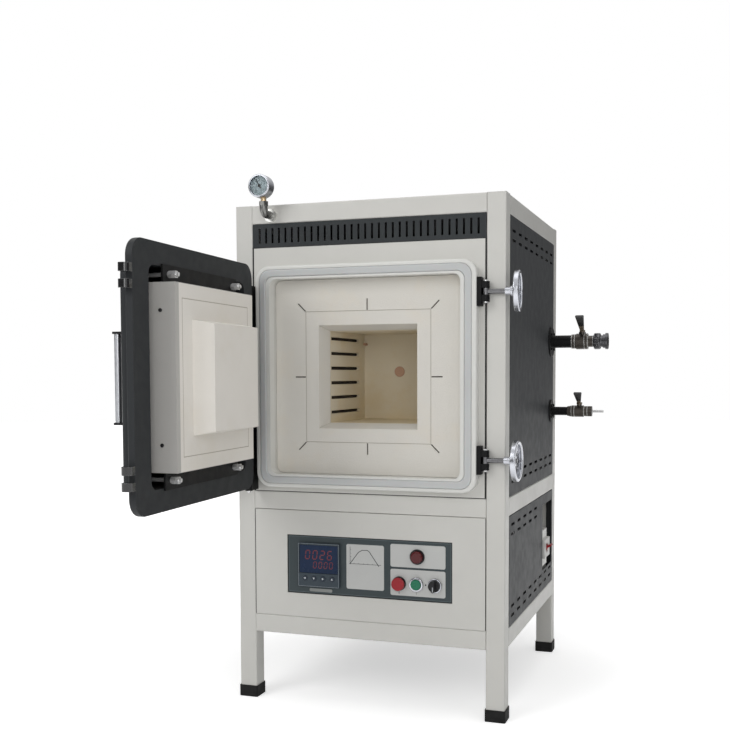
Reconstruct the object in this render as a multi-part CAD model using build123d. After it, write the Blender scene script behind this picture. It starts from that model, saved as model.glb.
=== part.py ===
from build123d import *
import os
from math import cos, radians, sin

# Muffle furnace on a square-tube frame, with a swing door, two screw clamps and two side ports.
# Row frame in millimetres: +X to the viewer's right, +Y to the rear, +Z up.
# The origin is on the floor, at the centre of the four feet.

# Cabinet frame
WIDTH = 600.0
DEPTH = 612.0
TUBE = 40.0
TUBE_WALL = 2.0
TUBE_RADIUS = 3.0
LOW_RAIL_TOP = 188.5
MID_RAIL_TOP = 462.5
MOUTH_BAY = 528.0
VENT_BAND = 51.5
FRONT_PLATE_TOP = MID_RAIL_TOP + MOUTH_BAY
HEIGHT = FRONT_PLATE_TOP + VENT_BAND + TUBE
FOOT_HEIGHT = 25.0
FOOT_LIP = 2.0
FOOT_SPIGOT = 18.0
ANCHOR_HOLE_RADIUS = 5.0
FIT = 0.3
SEAM = 0.5
FRONT = -DEPTH / 2
REAR = DEPTH / 2
SIDE = WIDTH / 2
BAY = SIDE - TUBE

# Sheet panels
SHEET = 2.0
RETURN = 15.0
FRONT_PLATE_WIDTH = 2 * BAY - 5
VENT_SLOTS = 33
VENT_PITCH = 15.2
VENT_SLOT = (4.6, 32.0)
SLOTS = 8
SLOT_PITCH = 65.0
SLOT_LENGTH = 33.0
SLOT_HEIGHT = 6.0
SLOT_ROW_GAP = 20.0
UPPER_SLOT_MARGIN = 29.0
LOWER_SLOT_MARGIN = 20.0
BREAKER_CUT_SIDE_SLOTS = 5

# Mouth ring, seal and hot box
MOUTH_Z = MID_RAIL_TOP + MOUTH_BAY / 2 - 15
RING_WIDTH = WIDTH - 110
RING_HEIGHT = 475.0
RING_DEPTH = 23.0
RING_RADIUS = 32.0
RECESS_WIDTH = RING_WIDTH - 68
RECESS_HEIGHT = 418.0
RECESS_RADIUS = 16.0
GROOVE_WIDTH = RING_WIDTH - 20
GROOVE_HEIGHT = 459.0
GROOVE_LAND = 16.0
GROOVE_DEPTH = 6.0
SEAL_PROUD = 1.7
DOOR_GAP = 25.0
SHELL_WALL = 4.0
REAR_SPACE = 172.0
SHELL_DEPTH = DEPTH - REAR_SPACE
FACE_DEPTH = 10.0
BOARD = 40.0
MOUTH_BLOCK = 280.0
MOUTH_FRONT = 221.0
CHAMBER = 200.0
CHAMBER_DEPTH = 220.0
MUFFLE_WALL = 25.0
ELEMENT_ROWS = 6
ELEMENT_PITCH = 32.3
ELEMENT_GROOVE = (7.0, 176.0, 12.0)
ELEMENT_RADIUS = 3.2
SLIT = (24.0, 2.5, 10.0)
SHEATH_RADIUS = 3.0
SHEATH_PLACE = (-95.0, MOUTH_Z + 76.5)
PLUG_RADIUS = 12.0
PLUG_X = -12.0
PLUG_Z = MOUTH_Z + 11.5
CRADLE_WALL = 3.0

# Door, built closed and then swung open about the hinge axis
HINGE_X = -(SIDE - 45)
HINGE_Y = FRONT - 40.0
DOOR_OPEN = 87.17
DOOR_LEFT = -(RING_WIDTH / 2 + 1)
DOOR_WIDTH = RING_WIDTH + 10
DOOR_HEIGHT = 475.0
DOOR_RADIUS = 32.0
DOOR_FLANGE = 15.0
PAN_CENTRE = -3.0
PAN_OPENING = (DOOR_WIDTH - 96, 392.0)
PAN_RADIUS = 17.0
PAN_DEPTH = 58.0
PAN_SHEET = 3.0
PLUG_BLOCK = (335.0, 335.0)
PLUG_REACH = 34.0
PLUG_BACK = 20.0
NOSE_BASE = 210.0
NOSE_TIP = 195.0
NOSE_LENGTH = 41.0
STUD_X = 134.0
STUD_Z = 183.0
STUD_RADIUS = 4.0
STUD_TIP = 24.0
BAR_THICK = 4.0
BAR_HALF = 155.0
BAR_LAP = 4.0
LUG_RISE = 171.0
LUG_HALF = 21.0
LUG_SLOT = 12.5
LUG_REACH = 18.0
LUG_THICK = 20.0
LUG_ROUND = 9.0
HANDLE_X = 159.0
HANDLE_Z = MOUTH_Z - 0.7
HANDLE_HALF = 83.0
HANDLE_STAND = 27.0
HANDLE_PLATE = 4.0
HANDLE_WIDTH = 18.0
HANDLE_FOOT = 14.0
GRIP_RADIUS = 6.0
HINGE_BOTTOM = MID_RAIL_TOP + 3.5
HINGE_LENGTH = 442.0
HINGE_SEGMENTS = 5
KNUCKLE_RADIUS = 8.0
HINGE_PIN_RADIUS = 4.0
RUNNING_FIT = 0.06
HINGE_BAR = 6.0

# Screw clamps
CLAMP_X = SIDE - 39
CLAMP_Y = FRONT - 12.0
CLAMP_REST = {"upper": 4.5, "lower": -1.0}
CLAMP_LEVEL = {"upper": MOUTH_Z + LUG_RISE, "lower": MOUTH_Z - LUG_RISE + 2.0}
BRACKET = (9.0, 20.0, 58.0)
EAR_RADIUS = 8.0
EAR_HEIGHT = 13.5
EYE_HALF = 6.6
EYE_RADIUS = 6.6
CLAMP_PIN_RADIUS = 3.5
ROD_RADIUS = 5.0
COLLAR_START = 39.5
COLLAR_RADIUS = 8.0
COLLAR_LENGTH = 11.0
WHEEL_RADIUS = 41.5
WHEEL_HUB = (51.0, 12.0)
HUB_RADIUS = 11.0
WHEEL_RIM = (59.0, 11.0)
RIM_BAR = 8.0
DISH_WALL = 4.5
WINDOWS = 3
WINDOW_RADIUS = 23.0
WINDOW_WIDTH = 13.0
WINDOW_ARC = 62.0

# Pressure gauge
GAUGE_X = -(SIDE - 83.5)
GAUGE_STEM_Y = FRONT - 35.0
ELBOW_Z = HEIGHT - 23
GAUGE_Z = ELBOW_Z + 54.5
GAUGE_RADIUS = 24.5
GAUGE_FRONT = FRONT - 60.0
GAUGE_THICK = 28.0
ELBOW_RADIUS = 8.5
ELBOW_BEND = 12.0
ELBOW_RISE = 16.0
ELBOW_RING = (14.0, 4.0)
NIPPLE_RADIUS = 6.0
NEEDLE_REST = 121.0

# Side ports
PORT_Y = REAR - 76
VACUUM_Z = MOUTH_Z + 85.5
GAS_Z = MOUTH_Z - 87.5
VACUUM_BEND_X = SIDE - 205
GAS_BEND_X = SIDE - 180
VACUUM_PIPE = (15.5, 13.0)
VACUUM_PIPE_END = SIDE + 52
GAS_PIPE = (10.5, 8.0)
GAS_PIPE_END = SIDE + 43
PORT_FLANGE = 4.0
VACUUM_STEM_X = SIDE + 78
VACUUM_STEM_TOP = VACUUM_Z + 23.0
GAS_STEM_X = SIDE + 72
GAS_STEM_TOP = GAS_Z + 17.0
STEM_RADIUS = 3.0
STEM_LENGTH = 7.0
KF_END = SIDE + 141
KF_BORE = 12.5

# Control panel
PANEL = (372.5, 128.2)
PANEL_X = 2.75
PANEL_Z = 304.6
CONTROLLER = 96.0
CONTROLLER_X = -108.5
CONTROLLER_BODY = 91.0
KEY_PITCH = 21.0
KEY_Z = 276.0
KEY_RADIUS = 5.8
SWITCH_HOLE = 11.2
BUTTON_STEM = 9.5
RED_RADIUS = 14.0
GREEN_RADIUS = 11.0
LAMP_STEM = 8.0
LAMP_PLACE = (113.0, 334.5)
RED_PLACE = (73.0, 276.0)
GREEN_PLACE = (111.0, 276.0)
SELECTOR_PLACE = (151.5, 276.0)

# Breaker in the lower right panel
BREAKER_CUT = (DEPTH - 180, 128.0, 238.0, 160.0)
BREAKER_Y = DEPTH - 172
BREAKER_WIDTH = 72.0
BREAKER_Z = 288.0
BREAKER_HEIGHT = 88.0
BREAKER_BACK = SIDE - 66.0
BREAKER_FACE = SIDE - 4.0
BREAKER_NOSE = 8.0
TOGGLE_DRUM = 8.0

# Cable gland in the lower rear panel
GLAND_X = SIDE - 100
GLAND_Z = 300.0
GLAND_THREAD = 12.5
GLAND_BORE = 8.0

# Fan in the upper rear panel
FAN_Z = HEIGHT - 177
FAN_SIZE = 120.0
FAN_DEPTH = 38.0
FAN_BORE = 57.0
FAN_TIP = 54.0
FAN_HUB = 20.0
BLADES = 7
GUARD_RINGS = (16.0, 30.0, 44.0)
GUARD_BAR = 3.0


def block(x0, x1, y0, y1, z0, z1):
    """A box from its six limits."""
    middle = Pos((x0 + x1) / 2, (y0 + y1) / 2, (z0 + z1) / 2)
    return middle * Box(x1 - x0, y1 - y0, z1 - z0)


def rod(start, direction, radius, length, bore=0.0):
    """A round bar, or a tube if it has a bore, from its start point along a direction."""
    section = Circle(radius)
    if bore:
        section -= Circle(bore)
    return extrude(Plane(origin=start, z_dir=direction) * section, amount=length)


def front_slab(sketch, y0, y1, x=0.0, z=0.0):
    """A sketch drawn in the X-Z plane about (x, z), filling the depth from y0 back to y1."""
    plane = Plane(origin=(x, y1, z), x_dir=(1, 0, 0), z_dir=(0, -1, 0))
    return extrude(plane * sketch, amount=y1 - y0)


def side_slab(sketch, x0, x1, y=0.0, z=0.0):
    """A sketch drawn in the Y-Z plane about (y, z), filling the width from x0 to x1."""
    plane = Plane(origin=(x0, y, z), x_dir=(0, 1, 0), z_dir=(1, 0, 0))
    return extrude(plane * sketch, amount=x1 - x0)


def edges_at(part, axis, low, high):
    """The edges of a part that lie wholly between two levels along an axis."""
    return part.edges().filter_by_position(axis, low, high)


def save(name, *pieces):
    """Write one node's STEP file from its separate solids."""
    solids = [solid for piece in pieces for solid in piece.solids()]
    shape = solids[0] if len(solids) == 1 else Compound(children=solids)
    export_step(shape, f"parts/{name}.step")


# ---- cabinet frame ----

def tube_section():
    inner = TUBE - 2 * TUBE_WALL
    return RectangleRounded(TUBE, TUBE, TUBE_RADIUS), Rectangle(inner, inner)


def frame_posts():
    outer, inner = tube_section()
    length = HEIGHT - FOOT_HEIGHT
    post = extrude(outer, amount=length) - extrude(inner, amount=length - TUBE_WALL)
    reach = TUBE / 2
    places = [(sx * (SIDE - reach), sy * (REAR - reach)) for sx in (-1, 1) for sy in (-1, 1)]
    return [Pos(x, y, FOOT_HEIGHT) * post for x, y in places]


def rail(length):
    outer, inner = tube_section()
    return extrude(outer - inner, amount=length)


def rail_levels():
    return [top - TUBE / 2 for top in (LOW_RAIL_TOP, MID_RAIL_TOP, HEIGHT)]


def cross_rails():
    bar = Rot(0, 90, 0) * rail(2 * BAY)
    reach = TUBE / 2
    rails = [Pos(-BAY, sy * (REAR - reach), z) * bar for sy in (-1, 1) for z in rail_levels()]
    nipple = rod((GAUGE_X, FRONT - 1, ELBOW_Z), (0, 1, 0), NIPPLE_RADIUS + FIT, TUBE + 2)
    return [bar - nipple for bar in rails]


def side_rails():
    bar = Rot(-90, 0, 0) * rail(DEPTH - 2 * TUBE)
    reach = TUBE / 2
    return [Pos(sx * (SIDE - reach), FRONT + TUBE, z) * bar for sx in (-1, 1) for z in rail_levels()]


def feet():
    size = TUBE + 2 * FOOT_LIP
    spigot = TUBE - 2 * TUBE_WALL - 2 * FIT
    foot = extrude(RectangleRounded(size, size, 4), amount=FOOT_HEIGHT)
    foot += Pos(0, 0, FOOT_HEIGHT) * extrude(Rectangle(spigot, spigot), amount=FOOT_SPIGOT)
    foot -= rod((0, 0, -1), (0, 0, 1), ANCHOR_HOLE_RADIUS, FOOT_HEIGHT + FOOT_SPIGOT + 2)
    reach = TUBE / 2
    places = [(sx * (SIDE - reach), sy * (REAR - reach)) for sx in (-1, 1) for sy in (-1, 1)]
    return [Pos(x, y, 0) * foot for x, y in places]


# ---- sheet panels ----

def tray(width, height):
    """A sheet panel in the local X-Y plane, face at z = 0, with its four returns bent down."""
    shape = extrude(Rectangle(width, height), amount=-RETURN)
    hollow = extrude(Rectangle(width - 2 * SHEET, height - 2 * SHEET), amount=-RETURN)
    return shape - Pos(0, 0, -SHEET) * hollow


def face_plane(facing, y=0.0, z=0.0):
    """The local plane of a wall panel that faces 'front', 'rear', 'left' or 'right'."""
    if facing == "front":
        return Plane(origin=(0, FRONT, z), x_dir=(1, 0, 0), z_dir=(0, -1, 0))
    if facing == "rear":
        return Plane(origin=(0, REAR, z), x_dir=(-1, 0, 0), z_dir=(0, 1, 0))
    if facing == "left":
        return Plane(origin=(-SIDE, y, z), x_dir=(0, -1, 0), z_dir=(-1, 0, 0))
    return Plane(origin=(SIDE, y, z), x_dir=(0, 1, 0), z_dir=(1, 0, 0))


def slot_rows(columns, level, count=SLOTS):
    """Two rows of ventilation slots, side by side, counted from the panel's first end."""
    start = -(columns - 1) * SLOT_PITCH / 2
    slot = extrude(Rectangle(SLOT_LENGTH, SLOT_HEIGHT), amount=SHEET + 2, both=True)
    rows = (level - SLOT_ROW_GAP / 2, level + SLOT_ROW_GAP / 2)
    return [Pos(start + i * SLOT_PITCH, row, 0) * slot for row in rows for i in range(count)]


def wall_panel(width, bottom, top, margin, top_count=SLOTS):
    """A slotted panel between two rails, in its local plane."""
    height = top - bottom - 2 * SEAM
    panel = tray(width, height)
    level = height / 2 - margin - SLOT_ROW_GAP / 2
    for slot in slot_rows(SLOTS, level, top_count) + slot_rows(SLOTS, -level):
        panel -= slot
    return panel


def side_panel(facing, bottom, top, margin, top_count=SLOTS):
    width = DEPTH - 2 * TUBE - 2 * SEAM
    panel = wall_panel(width, bottom, top, margin, top_count)
    return face_plane(facing, 0, (bottom + top) / 2) * panel


def upper_side_panel(facing):
    return side_panel(facing, MID_RAIL_TOP, HEIGHT - TUBE, UPPER_SLOT_MARGIN)


def upper_right_panel():
    panel = upper_side_panel("right")
    panel -= rod((SIDE - 9, PORT_Y, VACUUM_Z), (1, 0, 0), VACUUM_PIPE[0] + SEAM, 20)
    panel -= rod((SIDE - 9, PORT_Y, GAS_Z), (1, 0, 0), GAS_PIPE[0] + SEAM, 20)
    return panel


def lower_side_panel(facing, top_count=SLOTS):
    return side_panel(facing, LOW_RAIL_TOP, MID_RAIL_TOP - TUBE, LOWER_SLOT_MARGIN, top_count)


def lower_right_panel():
    start, length, bottom, height = BREAKER_CUT
    panel = lower_side_panel("right", BREAKER_CUT_SIDE_SLOTS)
    start += FRONT
    return panel - block(SIDE - 5, SIDE + 5, start, start + length, bottom, bottom + height)


def front_plate():
    bottom = MID_RAIL_TOP + SEAM
    sheet = tray(FRONT_PLATE_WIDTH, FRONT_PLATE_TOP - bottom)
    plate = face_plane("front", 0, (bottom + FRONT_PLATE_TOP) / 2) * sheet
    return plate - front_slab(shell_section(SHELL_WALL + SEAM), FRONT - 5, FRONT + 40, 0, MOUTH_Z)


def vent_grille():
    bottom = FRONT_PLATE_TOP + SEAM
    top = HEIGHT - TUBE - SEAM
    grille = tray(2 * BAY - 2 * SEAM, top - bottom)
    start = -(VENT_SLOTS - 1) * VENT_PITCH / 2
    slot = extrude(Rectangle(*VENT_SLOT), amount=SHEET + 2, both=True)
    for i in range(VENT_SLOTS):
        grille -= Pos(start + i * VENT_PITCH, 0, 0) * slot
    return face_plane("front", 0, (bottom + top) / 2) * grille


def lower_front_panel():
    bottom = LOW_RAIL_TOP + SEAM
    top = MID_RAIL_TOP - TUBE - SEAM
    panel = face_plane("front", 0, (bottom + top) / 2) * tray(2 * BAY - 2 * SEAM, top - bottom)
    return panel - front_slab(Rectangle(*PANEL), FRONT - 5, FRONT + 5, PANEL_X, PANEL_Z)


def top_panel():
    plane = Plane(origin=(0, 0, HEIGHT), x_dir=(1, 0, 0), z_dir=(0, 0, 1))
    return plane * tray(2 * BAY - 2 * SEAM, DEPTH - 2 * TUBE - 2 * SEAM)


def fan_guard():
    """What is punched out before the fan, leaving rings on two crossed ribs."""
    cut = Circle(FAN_BORE) - Circle(GUARD_RINGS[0] - 2 * GUARD_BAR)
    for radius in GUARD_RINGS:
        cut -= Circle(radius + GUARD_BAR / 2) - Circle(radius - GUARD_BAR / 2)
    for turn in (45, 135):
        cut -= Rot(0, 0, turn) * Rectangle(2 * FAN_BORE + 2, GUARD_BAR)
    return cut


def rear_upper_panel():
    width = 2 * BAY - 2 * SEAM
    panel = wall_panel(width, MID_RAIL_TOP, HEIGHT - TUBE, UPPER_SLOT_MARGIN)
    panel = face_plane("rear", 0, (MID_RAIL_TOP + HEIGHT - TUBE) / 2) * panel
    return panel - front_slab(fan_guard(), REAR - 5, REAR + 5, 0, FAN_Z)


def rear_lower_panel():
    width = 2 * BAY - 2 * SEAM
    top = MID_RAIL_TOP - TUBE
    panel = wall_panel(width, LOW_RAIL_TOP, top, LOWER_SLOT_MARGIN)
    panel = face_plane("rear", 0, (LOW_RAIL_TOP + top) / 2) * panel
    return panel - rod((GLAND_X, REAR - 5, GLAND_Z), (0, 1, 0), GLAND_THREAD + FIT, 10)


def cover_panels():
    lefts = [upper_side_panel("left"), lower_side_panel("left")]
    return lefts + [upper_right_panel(), lower_right_panel(), top_panel()]


def plate_between_rails(level):
    """A deck that rests on the side rails."""
    lap = BAY + 15
    return block(-lap, lap, FRONT + TUBE + 5, REAR - TUBE - 5, level, level + SHEET)


# ---- mouth ring, seal and hot box ----

def mouth_ring():
    outer = RectangleRounded(RING_WIDTH, RING_HEIGHT, RING_RADIUS)
    inner = RectangleRounded(RECESS_WIDTH, RECESS_HEIGHT, RECESS_RADIUS)
    ring = front_slab(outer, FRONT - RING_DEPTH, FRONT, 0, MOUTH_Z)
    ring = fillet(edges_at(ring, Axis.Y, FRONT - RING_DEPTH - 0.1, FRONT - RING_DEPTH + 0.1), 4)
    ring -= front_slab(inner, FRONT - RING_DEPTH - 1, FRONT + 1, 0, MOUTH_Z)
    return ring - seal_band(FRONT - RING_DEPTH - 1, FRONT - RING_DEPTH + GROOVE_DEPTH, 0)


def seal_band(y0, y1, gap):
    """The band that the groove takes, or the seal in it, smaller by the gap on each side."""
    outer = RectangleRounded(GROOVE_WIDTH - 2 * gap, GROOVE_HEIGHT - 2 * gap, RING_RADIUS - 8)
    width = GROOVE_WIDTH - 2 * GROOVE_LAND + 2 * gap
    height = GROOVE_HEIGHT - 2 * GROOVE_LAND + 2 * gap
    inner = RectangleRounded(width, height, RING_RADIUS - 16)
    return front_slab(outer - inner, y0, y1, 0, MOUTH_Z)


def door_seal():
    front = FRONT - RING_DEPTH - SEAL_PROUD
    seal = seal_band(front, FRONT - RING_DEPTH + GROOVE_DEPTH, FIT)
    return fillet(edges_at(seal, Axis.Y, front - 0.1, front + 0.1), 3)


def shell_section(grow):
    return RectangleRounded(RECESS_WIDTH + 2 * grow, RECESS_HEIGHT + 2 * grow, RECESS_RADIUS + grow)


def hot_shell():
    shell = front_slab(shell_section(SHELL_WALL), FRONT, FRONT + SHELL_DEPTH, 0, MOUTH_Z)
    return shell - front_slab(shell_section(0), FRONT - 1, FRONT + SHELL_DEPTH + 1, 0, MOUTH_Z)


def shell_back():
    back = front_slab(shell_section(SHELL_WALL), FRONT + SHELL_DEPTH, FRONT + SHELL_DEPTH + 6, 0, MOUTH_Z)
    x, z = SHEATH_PLACE
    back -= rod((x, FRONT + SHELL_DEPTH - 1, z), (0, 1, 0), SHEATH_RADIUS + FIT, 10)
    for bend_x, level, radius in ((VACUUM_BEND_X, VACUUM_Z, VACUUM_PIPE[1]), (GAS_BEND_X, GAS_Z, GAS_PIPE[1])):
        back -= rod((bend_x, FRONT + SHELL_DEPTH - 1, level), (0, 1, 0), radius, 10)
    return back


def shell_cradles():
    """Two channels that carry the hot shell on the deck."""
    top = MOUTH_Z - RECESS_HEIGHT / 2 - SHELL_WALL
    bottom = MID_RAIL_TOP + SHEET
    cradles = []
    for y in (FRONT + 60, FRONT + SHELL_DEPTH - 80):
        channel = block(-190, 190, y, y + 40, bottom, top)
        hollow = block(-191, 191, y + CRADLE_WALL, y + 41, bottom + CRADLE_WALL, top - CRADLE_WALL)
        cradles.append(channel - hollow)
    return cradles


def decks():
    """The two decks with what stands on them: the shell's cradles and the breaker's bracket."""
    plates = [plate_between_rails(level) for level in (LOW_RAIL_TOP, MID_RAIL_TOP)]
    return plates + shell_cradles() + [breaker_rail()]


def face_board():
    front = FRONT + FACE_DEPTH
    board = front_slab(shell_section(-SEAM), front, front + BOARD, 0, MOUTH_Z)
    seat = MOUTH_BLOCK + 2 * FIT
    return board - front_slab(Rectangle(seat, seat), front - 1, front + BOARD + 1, 0, MOUTH_Z)


def mouth_block():
    front = FRONT + FACE_DEPTH
    shape = front_slab(Rectangle(MOUTH_BLOCK, MOUTH_BLOCK), front, front + BOARD, 0, MOUTH_Z)
    plane = Plane(origin=(0, front, MOUTH_Z), x_dir=(1, 0, 0), z_dir=(0, -1, 0))
    near = plane * Rectangle(MOUTH_FRONT, MOUTH_FRONT)
    far = plane.offset(-BOARD) * Rectangle(CHAMBER, CHAMBER)
    return shape - loft([near.face(), far.face()])


def expansion_slits(board):
    """Eight short slits cut outward from the mouth block's seam, at its corners and mid-sides."""
    length, width, depth = SLIT
    front = FRONT + FACE_DEPTH
    half = MOUTH_BLOCK / 2 + FIT
    for turn in range(8):
        angle = 45 * turn
        reach = half * (2 ** 0.5 if turn % 2 else 1) + length / 2 + 1
        x = reach * cos(radians(angle))
        z = MOUTH_Z + reach * sin(radians(angle))
        board -= front_slab(Rot(0, 0, angle) * Rectangle(length, width), front - 1, front + depth, x, z)
    return board


def muffle_front():
    return FRONT + FACE_DEPTH + BOARD + FIT


def element_levels():
    middle = MOUTH_Z + 3
    return [middle + (i - (ELEMENT_ROWS - 1) / 2) * ELEMENT_PITCH for i in range(ELEMENT_ROWS)]


def chamber_muffle():
    front = muffle_front()
    outer = CHAMBER + 2 * MUFFLE_WALL
    back = front + CHAMBER_DEPTH
    muffle = front_slab(Rectangle(outer, outer), front, back + MUFFLE_WALL, 0, MOUTH_Z)
    muffle -= front_slab(Rectangle(CHAMBER, CHAMBER), front - 1, back, 0, MOUTH_Z)
    height, length, depth = ELEMENT_GROOVE
    half = CHAMBER / 2
    for z in element_levels():
        for sx in (-1, 1):
            x0, x1 = sorted((sx * (half - 1), sx * (half + depth)))
            muffle -= block(x0, x1, front + 6, front + 6 + length, z - height / 2, z + height / 2)
    x, z = SHEATH_PLACE
    muffle -= rod((x, back - 1, z), (0, 1, 0), SHEATH_RADIUS + FIT, MUFFLE_WALL + 2)
    return muffle - rod((PLUG_X, back - 1, PLUG_Z), (0, 1, 0), PLUG_RADIUS + FIT, MUFFLE_WALL + 2)


def heating_elements():
    height, length, depth = ELEMENT_GROOVE
    front = muffle_front() + 6 + FIT
    reach = CHAMBER / 2 + depth - ELEMENT_RADIUS - FIT
    places = [(sx * reach, front, z) for z in element_levels() for sx in (-1, 1)]
    return [rod(place, (0, 1, 0), ELEMENT_RADIUS, length - 2 * FIT) for place in places]


def gas_plug():
    """The ceramic plug in the back wall that lets the gas in."""
    back = muffle_front() + CHAMBER_DEPTH
    return rod((PLUG_X, back - 2, PLUG_Z), (0, 1, 0), PLUG_RADIUS, MUFFLE_WALL + 2)


def insulation():
    front = muffle_front()
    packing = front_slab(shell_section(-SEAM), front, FRONT + SHELL_DEPTH - FIT, 0, MOUTH_Z)
    size = CHAMBER + 2 * MUFFLE_WALL + 2 * FIT
    end = front + CHAMBER_DEPTH + MUFFLE_WALL + FIT
    packing -= front_slab(Rectangle(size, size), front - 1, end, 0, MOUTH_Z)
    x, z = SHEATH_PLACE
    return packing - rod((x, end - 1, z), (0, 1, 0), SHEATH_RADIUS + FIT, SHELL_DEPTH)


def thermocouple():
    x, z = SHEATH_PLACE
    tip = muffle_front() + CHAMBER_DEPTH - 15
    seat = FRONT + SHELL_DEPTH + 6
    sheath = rod((x, tip, z), (0, 1, 0), SHEATH_RADIUS, seat - tip)
    return sheath + rod((x, seat, z), (0, 1, 0), 20, 30)


def terminal_posts():
    seat, z = FRONT + SHELL_DEPTH + 6, MOUTH_Z - 111.5
    posts = []
    for x in (-140, -100, -60, -20):
        posts.append(rod((x, seat, z), (0, 1, 0), 9, 16) + rod((x, seat + 16, z), (0, 1, 0), 4, 20))
    return posts


# ---- door ----

def door_level(depth):
    """The Y of a level on the closed door, measured outward from its inner face."""
    return FRONT - DOOR_GAP - depth


def door_slab(sketch, t0, t1, x=0.0, z=MOUTH_Z):
    return front_slab(sketch, door_level(t1), door_level(t0), x, z)


def opened(shape):
    """Swing a piece of the closed door to its open rest position."""
    return shape.rotate(Axis((HINGE_X, HINGE_Y, 0), (0, 0, 1)), -DOOR_OPEN)


def door_flange():
    centre = DOOR_LEFT + DOOR_WIDTH / 2
    plate = door_slab(RectangleRounded(DOOR_WIDTH, DOOR_HEIGHT, DOOR_RADIUS), 0, DOOR_FLANGE, centre)
    outer = door_level(DOOR_FLANGE)
    plate = fillet(edges_at(plate, Axis.Y, outer - 0.1, outer + 0.1), 5)
    return plate - door_slab(RectangleRounded(*PAN_OPENING, PAN_RADIUS), -1, DOOR_FLANGE + 1, PAN_CENTRE)


def door_pan():
    width, height = PAN_OPENING
    grow = 2 * PAN_SHEET
    outside = RectangleRounded(width + grow, height + grow, PAN_RADIUS + PAN_SHEET)
    pan = door_slab(outside, DOOR_FLANGE, PAN_DEPTH, PAN_CENTRE)
    outer = door_level(PAN_DEPTH)
    pan = fillet(edges_at(pan, Axis.Y, outer - 0.1, outer + 0.1), 12)
    inside = RectangleRounded(width, height, PAN_RADIUS)
    hollow = door_slab(inside, DOOR_FLANGE - 1, PAN_DEPTH - PAN_SHEET, PAN_CENTRE)
    inner = door_level(PAN_DEPTH - PAN_SHEET)
    return pan - fillet(edges_at(hollow, Axis.Y, inner - 0.1, inner + 0.1), 12 - PAN_SHEET)


def door_block():
    return door_slab(Rectangle(*PLUG_BLOCK), -PLUG_REACH, PLUG_BACK)


def door_nose():
    plane = Plane(origin=(0, door_level(-PLUG_REACH), MOUTH_Z), x_dir=(1, 0, 0), z_dir=(0, 1, 0))
    near = plane * Rectangle(NOSE_BASE, NOSE_BASE)
    far = plane.offset(NOSE_LENGTH) * Rectangle(NOSE_TIP, NOSE_TIP)
    return loft([near.face(), far.face()])


def door_backing():
    """Soft packing between the plug block and the pan."""
    return door_slab(Rectangle(*PLUG_BLOCK), PLUG_BACK, PAN_DEPTH - PAN_SHEET)


def plug_bars():
    """Two flat bars beside the plug block, lapping the flange and drawn down on the studs."""
    low = PLUG_BLOCK[1] / 2 + FIT
    high = PAN_OPENING[1] / 2 + BAR_LAP
    bars = []
    for sz in (-1, 1):
        z0, z1 = sorted((MOUTH_Z + sz * low, MOUTH_Z + sz * high))
        bar = block(-BAR_HALF, BAR_HALF, door_level(0), door_level(-BAR_THICK), z0, z1)
        for sx in (-1, 1):
            start = (sx * STUD_X, door_level(1), MOUTH_Z + sz * STUD_Z)
            bar -= rod(start, (0, 1, 0), STUD_RADIUS + FIT, BAR_THICK + 2)
        bars.append(bar)
    return bars


def stud_places():
    return [(sx * STUD_X, MOUTH_Z + sz * STUD_Z) for sx in (-1, 1) for sz in (-1, 1)]


def plug_studs():
    floor = door_level(PAN_DEPTH - PAN_SHEET)
    tip = door_level(-STUD_TIP)
    return [rod((x, floor, z), (0, 1, 0), STUD_RADIUS, tip - floor) for x, z in stud_places()]


def plug_nuts():
    """A washer and a hexagon nut on each stud."""
    washer_y = door_level(-BAR_THICK)
    nuts = []
    for x, z in stud_places():
        hexagon = RegularPolygon(7.5, 6) - Circle(STUD_RADIUS + FIT)
        nut = front_slab(hexagon, washer_y + 2, washer_y + 9, x, z)
        lock = front_slab(hexagon, washer_y + 9.5, washer_y + 16, x, z)
        nuts += [rod((x, washer_y, z), (0, 1, 0), 6, 2, STUD_RADIUS + FIT), nut, lock]
    return nuts


def door_lugs():
    """Two forked lugs on the free edge, each as a pair of ears beside the rod's slot."""
    edge = DOOR_LEFT + DOOR_WIDTH
    lugs = []
    for level in CLAMP_LEVEL.values():
        for side in (-1, 1):
            z0, z1 = sorted((level + side * LUG_SLOT / 2, level + side * LUG_HALF))
            ear = block(edge, edge + LUG_REACH, door_level(LUG_THICK), door_level(0), z0, z1)
            corner = ear.edges().filter_by(Axis.Z).sort_by(Axis.X)[-2:]
            ear = fillet(corner, LUG_ROUND)
            lugs.append(ear)
    return lugs


def handle_posts():
    """The grip's two end plates, each with a screwed foot turned inward under the grip."""
    outer = door_level(PAN_DEPTH)
    half = HANDLE_WIDTH / 2
    end = outer - HANDLE_STAND - half
    posts = []
    for side in (-1, 1):
        tip = HANDLE_Z + side * HANDLE_HALF
        z0, z1 = sorted((tip, tip - side * HANDLE_PLATE))
        plate = block(HANDLE_X - half, HANDLE_X + half, end, outer, z0, z1)
        plate = fillet(edges_at(plate, Axis.Y, end - 0.1, end + 0.1).filter_by(Axis.Z), half - 1)
        z0, z1 = sorted((tip, tip - side * (HANDLE_PLATE + HANDLE_FOOT)))
        foot = block(HANDLE_X - half, HANDLE_X + half, outer - HANDLE_PLATE, outer, z0, z1)
        posts.append(plate + foot)
    return posts


def handle_grip():
    half = HANDLE_HALF - HANDLE_PLATE
    start = (HANDLE_X, door_level(PAN_DEPTH) - HANDLE_STAND, HANDLE_Z - half)
    return rod(start, (0, 0, 1), GRIP_RADIUS, 2 * half)


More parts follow.
